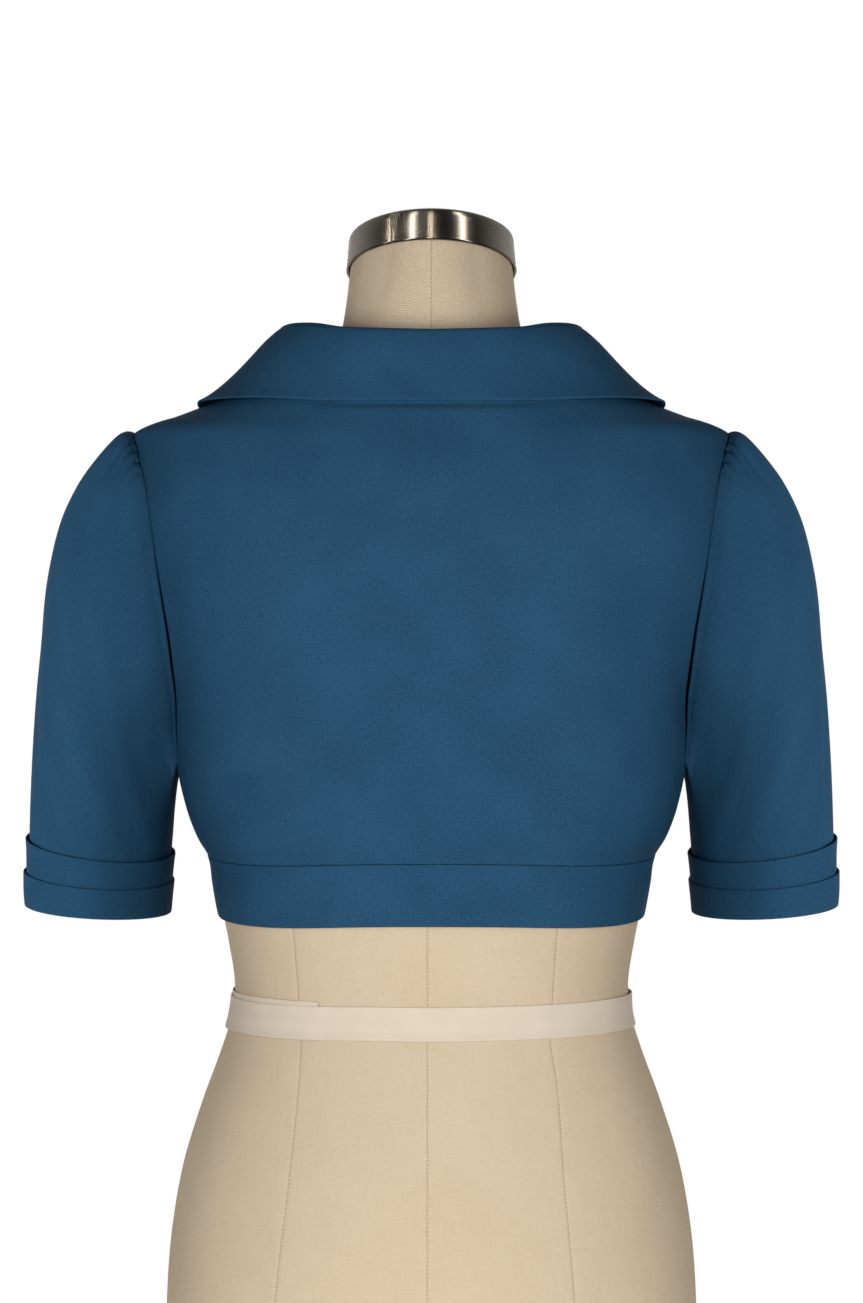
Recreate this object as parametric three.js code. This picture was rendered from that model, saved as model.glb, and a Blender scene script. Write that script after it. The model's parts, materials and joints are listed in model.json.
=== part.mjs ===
// A cropped jacket with a wide shawl collar, gathered sleeve heads, double-fold cuffs and a hem band,
// worn by a limbless dress form with a steel neck cap and a waist tape.
// Millimetres, +Z up. The jacket faces -Y, so +X is the wearer's left. The origin is the middle of the foot.
import * as THREE from "three";

// Driving dimensions: cloth
const BODY_CLOTH = 1.5;
const SLEEVE_CLOTH = 1.2;
const CUFF_CLOTH = 1.1;
const BAND_CLOTH = 1.9;
const COLLAR_CLOTH = 1.6;
const SEAM_GAP = 0.3;
const LAYER_GAP = 0.35;

// Driving dimensions: heights, taken at the wearer's side
const HEM_HEIGHT = 321;
const BAND_TOP = 357.8;
const UNDERARM_HEIGHT = 409;
const SHOULDER_TIP_HEIGHT = 612;
const NECK_SEAM_HEIGHT = 647.5;
const WAIST_HEIGHT = 263.3;

// Driving dimensions: shapes
const HEM_SAG = { back: 1.6, corners: 4.6 };
const FRONT_OPENING_HALF = 9;
const BUST = { apart: 84, height: 446, rise: 30, across: 58, above: 62, below: 44 };
const ARM_PLATE = { lowHeight: 409, lowX: 145.5, highHeight: 612, highX: 173.5 };
const TAPE = { height: 20, thickness: 0.8, lift: 0.6, sag: 1.8 };
const CAP = { halfWidth: 50.7, halfDepth: 51.5, wall: 1.6, skirt: 21.5, tilt: 16, dome: 3, flare: 1.4 };

// Finishes
const SATEEN = { color: 0x24506f, roughness: 0.55, metalness: 0 };
const CANVAS = { color: 0xd3bf9f, roughness: 0.9, metalness: 0 };
const TWILL = { color: 0xdaccb4, roughness: 0.85, metalness: 0 };
const STEEL = { color: 0x9a938a, roughness: 0.3, metalness: 1 };

// Meshing
const BACK_COLUMNS = 18;
const BAND_COLUMNS = 40;
const BAND_ROWS = 2;
const FRONT_COLUMNS = 10;
const SIDE_SEAM_ROWS = 5;
const ARMHOLE_ROWS = 12;
const GATHERS_BEHIND = 4.5;
const CUFF_COLUMNS = 24;
const FORM_COLUMNS = 36;

// Cross-sections of the form from foot to neck. Each ring has its own height at the side, back and front.
const SECTIONS = table(
  ["side", "back", "front", "halfWidth", "middle", "backY", "frontY", "squareness", "bend"],
  [
    [0, 0, 0, 157, 0, 120, -102, 2.3, 2],
    [84, 84, 84, 161, 0, 124, -104, 2.3, 2],
    [133, 133, 133, 157.4, 0, 121, -103.5, 2.3, 2],
    [170, 170, 170, 150.7, 0, 115.5, -102, 2.3, 2],
    [206, 206, 206, 139.7, 0, 107, -99, 2.25, 2],
    [243, 243, 243, 126.3, 0, 97.5, -94, 2.2, 2],
    [256, 256, 256, 122.3, 0, 93.8, -92.2, 2.2, 2],
    [273, 273, 273, 119.8, 0, 91.5, -91, 2.2, 2],
    [304, 304, 304, 123.5, 0, 92.5, -94, 2.2, 2],
    [321, 321, 321, 126.8, 0, 94.5, -97, 2.25, 2],
    [358, 358, 358, 132.5, 0, 99, -103, 2.3, 2],
    [390, 390, 390, 140.5, 0, 102.5, -108, 2.35, 2],
    [423, 423, 423, 148.6, 0, 104.5, -112, 2.4, 2],
    [451, 451, 451, 153.5, 0, 105.5, -114, 2.4, 2],
    [487, 487, 487, 166, 0, 106, -114, 2.4, 2],
    [534, 534, 532, 177.5, 0, 105, -109, 2.4, 2],
    [577, 575, 569, 180.5, 1, 100.5, -97, 2.35, 2],
    [598, 592, 582, 179.5, 2, 97, -90, 2.25, 2],
    [612, 604, 590, 176.4, 3, 94, -85, 2.15, 2],
    [620.5, 615.5, 595, 154, 4, 90, -80.5, 2.1, 2],
    [630, 629.5, 600, 128, 6, 84, -75, 2.05, 1.9],
    [639.5, 641.5, 604, 103, 7, 76.5, -69, 2, 1.8],
    [647.5, 651.5, 608, 83, 7, 69, -63, 2, 1.6],
    [656, 662.5, 617, 66, 5, 62, -57.5, 2, 1.4],
    [663, 671.5, 629, 59.5, 3.5, 57, -54.5, 2, 1.2],
    [674, 684, 650, 55.2, 1.5, 52, -52.5, 2, 1.1],
    [690, 703, 674, 52.2, -1, 47.5, -52, 2, 1],
    [709, 723.7, 695.9, 50, -5, 42.6, -53.2, 2, 1],
    [730.6, 744.2, 717, 47.8, -11, 36.5, -58.5, 2, 1],
  ],
);

// Room between the form and the inside of the jacket's body, by height at the side.
const EASE = table(
  ["side", "atSide", "atBack", "atFront"],
  [
    [321, 1.3, 2.2, 2.6],
    [340, 1.9, 2.5, 2.8],
    [358, 2.5, 3, 3.2],
    [366, 5.4, 5, 5],
    [378, 7.5, 6, 7],
    [392, 8.2, 7, 8],
    [406, 7.8, 7, 8],
    [423, 5.6, 6, 7],
    [460, 3.4, 5, 5.5],
    [520, 3, 3.4, 4],
    [577, 2, 2.2, 3],
    [600, 1.5, 1.7, 2],
    [612, 1.2, 1.3, 1.5],
    [700, 1.1, 1.2, 1.2],
  ],
);

// Where the front panel's neck edge lies, from the band to the shoulder.
const FRONT_EDGE = table(
  ["side", "x"],
  [
    [350, 9],
    [358, 10],
    [375, 15],
    [400, 22],
    [440, 33],
    [480, 43],
    [520, 53],
    [560, 63],
    [590, 70.5],
    [612, 75],
    [630, 78.5],
    [640, 81],
    [647.5, 82.6],
  ],
);

// The armhole seam's angle from the side line, by turns from the shoulder tip to the underarm.
const ARMHOLE = table(
  ["turn", "back", "front"],
  [
    [0, 0, 0],
    [15, 5, 6],
    [30, 9.6, 11],
    [45, 14.4, 16],
    [60, 17.3, 19],
    [75, 18.9, 21],
    [90, 19.3, 21.5],
    [105, 18.2, 20.5],
    [120, 14.9, 18],
    [135, 11.7, 15],
    [150, 10.2, 12.5],
    [165, 8.2, 9.4],
    [180, 0, 0],
  ],
);

// Sleeve sections from the armhole to the cuff, each as its inner and outer point seen from behind.
const SLEEVE_SECTIONS = table(
  ["innerX", "innerZ", "outerX", "outerZ", "backY", "frontY", "gathered", "armhole"],
  [
    [156.6, 407.2, 184.2, 614.9, 60, -62, 1, 0.92],
    [156.7, 405, 191.5, 611, 60, -63, 0.8, 0.82],
    [156.8, 402, 204.3, 597, 58.5, -64, 0.35, 0.68],
    [156.9, 398.5, 215.6, 581.2, 56, -65, 0.1, 0.54],
    [157, 394.5, 225, 561.5, 53.5, -65.5, 0, 0.42],
    [157.2, 390, 231.7, 536, 50.5, -65.8, 0, 0.3],
    [157.5, 384.5, 237, 505, 47, -65.5, 0, 0.18],
    [157.9, 377.5, 241.3, 462, 43.5, -64.8, 0, 0.08],
    [158.4, 369, 244.6, 412, 40, -63.5, 0, 0],
    [159.3, 359, 246.1, 374, 38, -62.5, 0, 0],
    [160.1, 345.5, 246.2, 352, 37.2, -62, 0, 0],
  ],
);
const ARMHOLE_SECTION = { innerX: 155.5, innerZ: 409, outerX: 179, outerZ: 613.7, backY: 60, frontY: -62 };
const ARMHOLE_SEAM = { takenIn: 1.6 * SEAM_GAP, outward: 2.2 * SEAM_GAP };
const GATHER_DEPTH = 0.9;
const GATHER_SPAN = 45;

// Turn-up heights round one cuff: the mean, what the outer side adds and what the back adds.
const CUFF_LEVELS = {
  hem: { mean: 322.6, outer: 1.6, back: -3.4 },
  lowerFold: { mean: 343.4, outer: 3.4, back: -5.8 },
  upperFold: { mean: 361.8, outer: 5.4, back: -7 },
};
const CUFF_CENTRE = { x: 203.2, y: -12.4 };
const CUFF_HALF = { x: 43.3, y: 49.6 };

// Collar stations on one side. Behind the shoulder a station is an angle round the neck.
const COLLAR_BACK = table(
  ["angle", "edgeSide", "rise", "upright", "edgeLift"],
  [
    [90, 626.8, 16.7, 1, 1.4],
    [76, 626.9, 17.1, 1, 1.4],
    [60, 626.8, 18.1, 1, 1.4],
    [45, 626.8, 19.7, 1, 1.6],
    [31, 627, 22.1, 0.98, 2.2],
    [18, 626.4, 24.3, 0.92, 2.6],
    [8, 625.4, 25.3, 0.88, 2.3],
    [0, 625.4, 25.3, 0.87, 1.7],
  ],
);
// Before the shoulder a station is a point down the front edge, with the collar edge's own place.
const COLLAR_FRONT = table(
  ["station", "seamSide", "edgeSide", "edgeX", "rise", "upright", "edgeLift"],
  [
    [0, 646.5, 623.4, 141.4, 25.1, 0.86, 1.8],
    [1, 641, 614, 148.6, 23.2, 0.82, 2],
    [2, 630, 600, 152, 20.5, 0.75, 2.2],
    [3, 612, 575, 150, 17, 0.62, 2],
    [4, 590, 548, 144.5, 13.6, 0.48, 1.8],
    [5, 560, 516, 134.5, 10.5, 0.32, 1.8],
    [6, 520, 480, 117.5, 8.4, 0.18, 1.8],
    [7, 480, 447, 96, 7.4, 0.08, 1.8],
    [8, 440, 415, 71, 6.8, 0, 1.8],
    [9, 405, 388, 48, 6.2, 0, 1.4],
    [10, 378, 368.5, 28.5, 5.6, 0, 1],
    [11, 362.5, 361.5, 18, 5.2, 0, 0.6],
  ],
);
const COLLAR_ROLL = 3.2;
const COLLAR_SWELL = 1.3;
const COLLAR_HOLLOW = 1.75;
const COLLAR_LIFT = 0.9;
const COLLAR_SAMPLES = 2;

/** Rows of numbers as objects with named columns. */
function table(columns, rows) {
  return rows.map((row) => Object.fromEntries(columns.map((name, i) => [name, row[i]])));
}

/** A smooth curve through a table's column, against another column that rises. */
function curveThrough(rows, against, name) {
  const t = rows.map((r) => r[against]);
  const v = rows.map((r) => r[name]);
  const steps = t.slice(1).map((x, i) => (v[i + 1] - v[i]) / (x - t[i]));
  const slopes = v.map((_, i) => {
    if (i === 0) return steps[0];
    if (i === v.length - 1) return steps[i - 1];
    const [before, after] = [t[i] - t[i - 1], t[i + 1] - t[i]];
    return (steps[i - 1] * after + steps[i] * before) / (before + after);
  });
  return (x) => {
    let i = 0;
    while (i < t.length - 2 && x > t[i + 1]) i++;
    const h = t[i + 1] - t[i];
    const u = THREE.MathUtils.clamp((x - t[i]) / h, 0, 1);
    const [u2, u3] = [u * u, u * u * u];
    return (
      v[i] * (2 * u3 - 3 * u2 + 1) +
      v[i + 1] * (3 * u2 - 2 * u3) +
      h * (slopes[i] * (u3 - 2 * u2 + u) + slopes[i + 1] * (u3 - u2))
    );
  };
}

/** Adds the distance along the body's outline to each section, which keeps curves even over the shoulder. */
function withReach(rows) {
  let reach = 0;
  return rows.map((row, i) => {
    if (i) reach += Math.hypot(row.halfWidth - rows[i - 1].halfWidth, row.side - rows[i - 1].side);
    return { ...row, reach };
  });
}

/** A curve for each of a table's columns, by name. */
function curvesOf(rows, against) {
  return Object.fromEntries(Object.keys(rows[0]).map((name) => [name, curveThrough(rows, against, name)]));
}

/** The value of every curve at one place, by name. */
function valuesAt(curves, x) {
  return Object.fromEntries(Object.entries(curves).map(([name, curve]) => [name, curve(x)]));
}

const reachRows = withReach(SECTIONS);
const sectionCurves = curvesOf(reachRows, "reach");
const easeCurves = curvesOf(EASE, "side");
const armholeCurves = curvesOf(ARMHOLE, "turn");
const frontEdgeX = curveThrough(FRONT_EDGE, "side", "x");

/** The place along the outline where the side of the body has this height. */
function reachAt(sideHeight) {
  let [low, high] = [0, reachRows.at(-1).reach];
  for (let i = 0; i < 40; i++) {
    const middle = (low + high) / 2;
    if (sectionCurves.side(middle) < sideHeight) low = middle;
    else high = middle;
  }
  return (low + high) / 2;
}

const degrees = THREE.MathUtils.degToRad;

/** How far the bust stands forward of the plain chest. */
function bustRise(x, z) {
  const spread = z > BUST.height ? BUST.above : BUST.below;
  const across = (centre) => Math.exp(-(((x - centre) / BUST.across) ** 2));
  const sideways = across(BUST.apart) + across(-BUST.apart);
  return BUST.rise * sideways * Math.exp(-(((z - BUST.height) / spread) ** 2));
}

/** A point on the form without its arm plates. Angle 0 is the wearer's left side and 90 degrees the back. */
function formPoint(reach, angle) {
  const ring = valuesAt(sectionCurves, reach);
  const [c, s] = [Math.cos(angle), Math.sin(angle)];
  const isBack = s >= 0;
  const depth = isBack ? ring.backY - ring.middle : ring.middle - ring.frontY;
  const n = ring.squareness;
  const radius = (Math.abs(c / ring.halfWidth) ** n + Math.abs(s / depth) ** n) ** (-1 / n);
  const share = Math.min(1, (radius * Math.abs(s)) / depth);
  const lift = ((isBack ? ring.back : ring.front) - ring.side) * share ** ring.bend;
  const z = ring.side + lift;
  const x = radius * c;
  const bust = isBack ? 0 : bustRise(x, z) * share;
  return new THREE.Vector3(x, ring.middle + radius * s - bust, z);
}

/** The form's outward normal, from the two directions along its surface. */
function formNormal(reach, angle) {
  const [alongStep, roundStep] = [0.5, 0.004];
  const along = formPoint(reach + alongStep, angle).sub(formPoint(reach - alongStep, angle));
  const round = formPoint(reach, angle + roundStep).sub(formPoint(reach, angle - roundStep));
  return round.cross(along).normalize();
}

/** A point of the jacket's body, lifted off its inside face. */
function jacketPoint(reach, angle, lift) {
  const side = sectionCurves.side(reach);
  const s = Math.sin(angle);
  const outer = s >= 0 ? easeCurves.atBack(side) : easeCurves.atFront(side);
  const ease = easeCurves.atSide(side) * (1 - s * s) + outer * s * s;
  return formPoint(reach, angle).addScaledVector(formNormal(reach, angle), ease + lift);
}

/** The same at a height on the side; towards the hem the cloth hangs lower off the side seams. */
function hangingPoint(height, angle, lift) {
  const fade = THREE.MathUtils.smoothstep(UNDERARM_HEIGHT - height, 0, UNDERARM_HEIGHT - BAND_TOP);
  const [c, s] = [Math.abs(Math.cos(angle)), Math.abs(Math.sin(angle))];
  const sag = HEM_SAG.back * s + HEM_SAG.corners * 2 * s * c ** 3;
  return jacketPoint(reachAt(height - sag * fade), angle, lift);
}

/** The angle at which the front of the jacket has this x, on the wearer's left. */
function frontAngleAtX(reach, x) {
  let [low, high] = [degrees(-90), 0];
  for (let i = 0; i < 40; i++) {
    const middle = (low + high) / 2;
    if (jacketPoint(reach, middle, 0).x < x) low = middle;
    else high = middle;
  }
  return (low + high) / 2;
}

/** Turns the armhole: 0 is the shoulder tip and half a turn the underarm. */
function armholeHeight(turn) {
  const middle = (SHOULDER_TIP_HEIGHT + UNDERARM_HEIGHT) / 2;
  return middle + ((SHOULDER_TIP_HEIGHT - UNDERARM_HEIGHT) / 2) * Math.cos(turn);
}

/** The armhole seam's angle from the side line, at a height on the body's side. */
function armholeAngle(sideHeight, isBack) {
  const half = (SHOULDER_TIP_HEIGHT - UNDERARM_HEIGHT) / 2;
  const cosine = THREE.MathUtils.clamp((sideHeight - UNDERARM_HEIGHT - half) / half, -1, 1);
  const turn = THREE.MathUtils.radToDeg(Math.acos(cosine));
  return degrees(isBack ? armholeCurves.back(turn) : -armholeCurves.front(turn));
}

/** A closed mesh from points and faces, turned so that its faces point out. */
function closedMesh(points, faces) {
  const position = new Float32Array(points.flatMap((p) => [p.x, p.y, p.z]));
  let volume = 0;
  for (let i = 0; i < faces.length; i += 3) {
    const [a, b, c] = [points[faces[i]], points[faces[i + 1]], points[faces[i + 2]]];
    volume += a.dot(new THREE.Vector3().crossVectors(b, c));
  }
  if (volume < 0) faces.reverse();
  const geometry = new THREE.BufferGeometry();
  geometry.setAttribute("position", new THREE.BufferAttribute(position, 3));
  geometry.setIndex(faces);
  geometry.computeVertexNormals();
  return geometry;
}

/** Two triangles for each quad of four corners, split along the shorter diagonal. */
function splitQuads(points, quads) {
  return quads.flatMap(([a, b, c, d]) => {
    const slack = 1e-6;
    const isShorter = points[a].distanceTo(points[c]) <= points[b].distanceTo(points[d]) + slack;
    return isShorter ? [a, b, c, a, c, d] : [a, b, d, b, c, d];
  });
}

/** A cloth wall between two grids of points. A ring's last column joins its first. */
function clothWall(outer, inner, isRing = false) {
  const [rows, columns] = [outer.length, outer[0].length];
  const at = (side, i, j) => side * rows * columns + i * columns + (j % columns);
  const quads = [];
  const [top, right] = [rows - 1, columns - 1];
  for (let j = 0; j < (isRing ? columns : right); j++) {
    for (let i = 0; i < top; i++) {
      quads.push([at(0, i, j), at(0, i, j + 1), at(0, i + 1, j + 1), at(0, i + 1, j)]);
      quads.push([at(1, i, j), at(1, i + 1, j), at(1, i + 1, j + 1), at(1, i, j + 1)]);
    }
    quads.push([at(0, 0, j + 1), at(0, 0, j), at(1, 0, j), at(1, 0, j + 1)]);
    quads.push([at(0, top, j), at(0, top, j + 1), at(1, top, j + 1), at(1, top, j)]);
  }
  if (!isRing)
    for (let i = 0; i < top; i++) {
      quads.push([at(0, i, 0), at(0, i + 1, 0), at(1, i + 1, 0), at(1, i, 0)]);
      quads.push([at(0, i + 1, right), at(0, i, right), at(1, i, right), at(1, i + 1, right)]);
    }
  const points = [...outer.flat(), ...inner.flat()];
  return closedMesh(points, splitQuads(points, quads));
}

/** A solid through rings of points, closed by a flat fan at each end. */
function ringSolid(rings) {
  const columns = rings[0].length;
  const points = rings.flat();
  const quads = [];
  for (let i = 0; i < rings.length - 1; i++)
    for (let j = 0; j < columns; j++) {
      const [a, b] = [i * columns + j, i * columns + ((j + 1) % columns)];
      quads.push([a, b, b + columns, a + columns]);
    }
  const faces = splitQuads(points, quads);
  for (const [ring, start] of [
    [rings[0], 0],
    [rings.at(-1), (rings.length - 1) * columns],
  ]) {
    const centre = ring.reduce((sum, p) => sum.add(p), new THREE.Vector3()).divideScalar(columns);
    points.push(centre);
    for (let j = 0; j < columns; j++) {
      const [a, b] = [start + j, start + ((j + 1) % columns)];
      if (start) faces.push(a, b, points.length - 1);
      else faces.push(b, a, points.length - 1);
    }
  }
  return closedMesh(points, faces);
}

/** The same points on the wearer's other side. */
function mirrored(grid) {
  return grid.map((row) => row.map((p) => new THREE.Vector3(-p.x, p.y, p.z)));
}

/** Whole-number steps from one value to another, both ends included. */
function steps(from, to, count) {
  return Array.from({ length: count + 1 }, (_, i) => from + ((to - from) * i) / count);
}

/** Unit normals of a grid of points; the sign follows rows crossed with columns. */
function gridNormals(grid, isRing) {
  const [rows, columns] = [grid.length, grid[0].length];
  return grid.map((row, i) =>
    row.map((_, j) => {
      const [up, down] = [grid[Math.min(i + 1, rows - 1)][j], grid[Math.max(i - 1, 0)][j]];
      const after = isRing ? (j + 1) % columns : Math.min(j + 1, columns - 1);
      const before = isRing ? (j + columns - 1) % columns : Math.max(j - 1, 0);
      const round = row[after].clone().sub(row[before]);
      return round.cross(up.clone().sub(down)).normalize();
    }),
  );
}

/** The grid moved along its normals. */
function moved(grid, normals, distance) {
  return grid.map((row, i) => row.map((p, j) => p.clone().addScaledVector(normals[i][j], distance)));
}

/** Side heights of a body panel's rows: straight sides, then the armhole, then the shoulder. */
function panelHeights(topHeight) {
  const bandSeam = BAND_TOP + 1.5 * SEAM_GAP;
  const sides = steps(bandSeam, UNDERARM_HEIGHT, SIDE_SEAM_ROWS).slice(0, -1);
  const armhole = steps(Math.PI, 0, ARMHOLE_ROWS).map(armholeHeight);
  const isShoulder = (height) => height > SHOULDER_TIP_HEIGHT && height < topHeight;
  const shoulder = SECTIONS.map((row) => row.side).filter(isShoulder);
  return [...sides, ...armhole, ...shoulder, topHeight];
}

/** A body panel: for each row, columns between two angles, as an inside and an outside grid. */
function bodyPanel(heights, anglesOf, columns) {
  const grid = (lift) =>
    heights.map((height) => {
      const reach = reachAt(height);
      const [from, to] = anglesOf(height, reach);
      return steps(from, to, columns).map((angle) => hangingPoint(height, angle, lift));
    });
  return { outer: grid(BODY_CLOTH), inner: grid(0) };
}

/** Half a seam's gap as an angle at this point of the body. */
function seamAngle(reach) {
  return (0.75 * SEAM_GAP) / sectionCurves.halfWidth(reach);
}

function backPanel() {
  const anglesOf = (height, reach) => {
    const edge = armholeAngle(height, true) + seamAngle(reach);
    return [edge, Math.PI - edge];
  };
  const { outer, inner } = bodyPanel(panelHeights(NECK_SEAM_HEIGHT), anglesOf, BACK_COLUMNS);
  return clothWall(outer, inner);
}

function frontPanelGrids() {
  const anglesOf = (height, reach) => [
    armholeAngle(height, false) - seamAngle(reach),
    frontAngleAtX(reach, frontEdgeX(height)),
  ];
  return bodyPanel(panelHeights(NECK_SEAM_HEIGHT - 1), anglesOf, FRONT_COLUMNS);
}

/** The hem band, one strip from the left front edge round the back to the right front edge. */
function hemBand() {
  const grid = (lift) =>
    steps(HEM_HEIGHT, BAND_TOP, BAND_ROWS).map((height) => {
      const edge = frontAngleAtX(reachAt(height), FRONT_OPENING_HALF);
      const angles = steps(edge, Math.PI - edge, BAND_COLUMNS);
      return angles.map((angle) => hangingPoint(height, angle, lift));
    });
  return clothWall(grid(BAND_CLOTH), grid(0));
}

/** Turns round the sleeve: evenly spaced where it is plain, and two to a gather at the head. */
function sleeveTurns() {
  const span = degrees(GATHER_SPAN);
  const head = steps(-span, span, 4 * GATHERS_BEHIND).slice(0, -1);
  const plainColumns = ARMHOLE_ROWS * 2 * (1 - GATHER_SPAN / 180);
  const plain = steps(span, 2 * Math.PI - span, plainColumns).slice(0, -1);
  return [...head, ...plain];
}

/** The sleeve's end at the armhole seam: the panels' edge, taken in by the seam's gap. */
function armholeRing(turns) {
  const ring = turns.map((turn) => {
    const height = armholeHeight(turn);
    return jacketPoint(reachAt(height), armholeAngle(height, Math.sin(turn) >= 0), SLEEVE_CLOTH);
  });
  const centre = ring.reduce((sum, p) => sum.add(p), new THREE.Vector3()).divideScalar(ring.length);
  const outward = new THREE.Vector3(ARMHOLE_SEAM.outward, 0, 0);
  return ring.map((p) => {
    const inward = centre.clone().sub(p).normalize();
    return p.clone().addScaledVector(inward, ARMHOLE_SEAM.takenIn).add(outward);
  });
}

/** A point on an oval section of the sleeve. */
function sleevePoint({ innerX, innerZ, outerX, outerZ, backY, frontY }, turn) {
  const [c, s] = [Math.cos(turn), Math.sin(turn)];
  return new THREE.Vector3(
    (outerX + innerX) / 2 + ((outerX - innerX) / 2) * c,
    (backY + frontY) / 2 + ((backY - frontY) / 2) * s,
    (outerZ + innerZ) / 2 + ((outerZ - innerZ) / 2) * c,
  );
}

/** Gathers sewn into the sleeve head: every other column sinks, and they shrink away from the top. */
function gatherRise(turn, column, gathered) {
  const fromTop = Math.abs(turn) / degrees(GATHER_SPAN);
  if (fromTop >= 1) return 0;
  return (column % 2 ? 1 : -1) * GATHER_DEPTH * gathered * Math.cos((fromTop * Math.PI) / 2) ** 0.5;
}

/** The left sleeve's outside grid: ovals that take on the armhole's own shape towards the seam. */
function sleeveGrid() {
  const turns = sleeveTurns();
  const seam = armholeRing(turns);
  const bends = seam.map((p, j) => p.clone().sub(sleevePoint(ARMHOLE_SECTION, turns[j])));
  const rings = SLEEVE_SECTIONS.map((section) =>
    turns.map((turn, j) => sleevePoint(section, turn).addScaledVector(bends[j], section.armhole)),
  );
  const grid = [seam, ...rings];
  const normals = gridNormals(grid, true);
  return grid.map((row, i) =>
    row.map((p, j) => {
      const gathered = i ? SLEEVE_SECTIONS[i - 1].gathered : 0;
      return p.clone().addScaledVector(normals[i][j], -gatherRise(turns[j], j, gathered));
    }),
  );
}

function sleeveWall(side) {
  const grid = sleeveGrid();
  const inner = moved(grid, gridNormals(grid, true), SLEEVE_CLOTH);
  return side > 0 ? clothWall(grid, inner, true) : clothWall(mirrored(grid), mirrored(inner), true);
}

/** One ring of a cuff at a given distance outside the sleeve's end. */
function cuffRing(level, drop, spread, shift) {
  return steps(0, 2 * Math.PI, CUFF_COLUMNS)
    .slice(0, -1)
    .map((turn) => {
      const [c, s] = [Math.cos(turn), Math.sin(turn)];
      return new THREE.Vector3(
        CUFF_CENTRE.x + shift + (CUFF_HALF.x + spread) * c,
        CUFF_CENTRE.y + (CUFF_HALF.y + spread) * s,
        level.mean - drop + level.outer * c + level.back * s,
      );
    });
}

/** A turned-up fold of the cuff, as a ring wall given by its inside face from the bottom up. */
function cuffWall(side, rows) {
  const inner = rows.map((r) => cuffRing(r.level, r.drop, r.spread, r.shift ?? 0));
  const outer = rows.map((r) => cuffRing(r.level, r.drop, r.spread + CUFF_CLOTH, r.shift ?? 0));
  return side > 0 ? clothWall(outer, inner, true) : clothWall(mirrored(outer), mirrored(inner), true);
}

function upperCuff(side) {
  const onSleeve = LAYER_GAP;
  return cuffWall(side, [
    { level: CUFF_LEVELS.lowerFold, drop: 5, spread: onSleeve - 0.25, shift: 0.5 },
    { level: CUFF_LEVELS.upperFold, drop: 6, spread: onSleeve + 0.5, shift: -0.1 },
    { level: CUFF_LEVELS.upperFold, drop: 0, spread: onSleeve + 1.1, shift: -0.3 },
  ]);
}

function lowerCuff(side) {
  const onUpper = 2 * LAYER_GAP + CUFF_CLOTH;
  return cuffWall(side, [
    { level: CUFF_LEVELS.hem, drop: 0, spread: onUpper - 1, shift: 1.2 },
    { level: CUFF_LEVELS.hem, drop: -9, spread: onUpper - 0.2, shift: 1.1 },
    { level: CUFF_LEVELS.lowerFold, drop: 0, spread: onUpper + 0.5, shift: 0.6 },
  ]);
}

/** One cross-section of the collar: up the stand, over the roll and down the fall to the edge. */
function collarSection({ seamReach, seamAt, edgeReach, edgeAt, rise, upright, edgeLift }) {
  const middle = BODY_CLOTH + COLLAR_CLOTH / 2;
  const on = (share) =>
    jacketPoint(
      THREE.MathUtils.lerp(seamReach, edgeReach, share),
      THREE.MathUtils.lerp(seamAt, edgeAt, share),
      middle + COLLAR_LIFT * Math.min(1, 4 * share) + edgeLift * share,
    );
  const seam = on(0);
  const up = formNormal(seamReach, seamAt).lerp(new THREE.Vector3(0, 0, 1), upright).normalize();
  const towardsEdge = 0.35;
  const out = on(towardsEdge).sub(seam);
  out.addScaledVector(up, -out.dot(up)).normalize();
  const top = seam.clone().addScaledVector(up, rise - COLLAR_ROLL);
  const roll = [0, 50, 100, 150].map((turn) =>
    top
      .clone()
      .addScaledVector(out, COLLAR_ROLL * (1 - Math.cos(degrees(turn))))
      .addScaledVector(up, COLLAR_ROLL * Math.sin(degrees(turn))),
  );
  const rollEnd = 0.06;
  const offset = roll.at(-1).clone().sub(on(rollEnd));
  const fall = steps(0.2, 1, 4).map((share) => {
    const down = (share - rollEnd) / (1 - rollEnd);
    return on(share).addScaledVector(offset, (1 - down ** COLLAR_SWELL) ** COLLAR_HOLLOW);
  });
  return [seam, seam.clone().lerp(top, 0.5), ...roll, ...fall];
}

/** The collar's middle surface on the wearer's left, from the centre back to the end of the front edge. */
function collarSections() {
  const seamReach = reachAt(NECK_SEAM_HEIGHT);
  const behind = COLLAR_BACK.map(({ angle, edgeSide, ...shape }) => {
    const at = degrees(angle);
    return collarSection({ seamReach, seamAt: at, edgeReach: reachAt(edgeSide), edgeAt: at, ...shape });
  });
  const curves = curvesOf(COLLAR_FRONT, "station");
  const last = COLLAR_FRONT.length - 1;
  const before = steps(0, last, last * COLLAR_SAMPLES).map((station) => {
    const { seamSide, edgeSide, edgeX, ...shape } = valuesAt(curves, station);
    const [seam, edge] = [reachAt(seamSide), reachAt(edgeSide)];
    const edgeAt = frontAngleAtX(edge, edgeX);
    const seamAt = frontAngleAtX(seam, frontEdgeX(seamSide));
    return collarSection({ seamReach: seam, seamAt, edgeReach: edge, edgeAt, ...shape });
  });
  return [...behind, ...before];
}

function collarWall() {
  const left = collarSections();
  const right = mirrored(left).slice(1).reverse();
  const middle = [...right, ...left];
  const normals = gridNormals(middle, false);
  return clothWall(moved(middle, normals, -COLLAR_CLOTH / 2), moved(middle, normals, COLLAR_CLOTH / 2));
}

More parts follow.
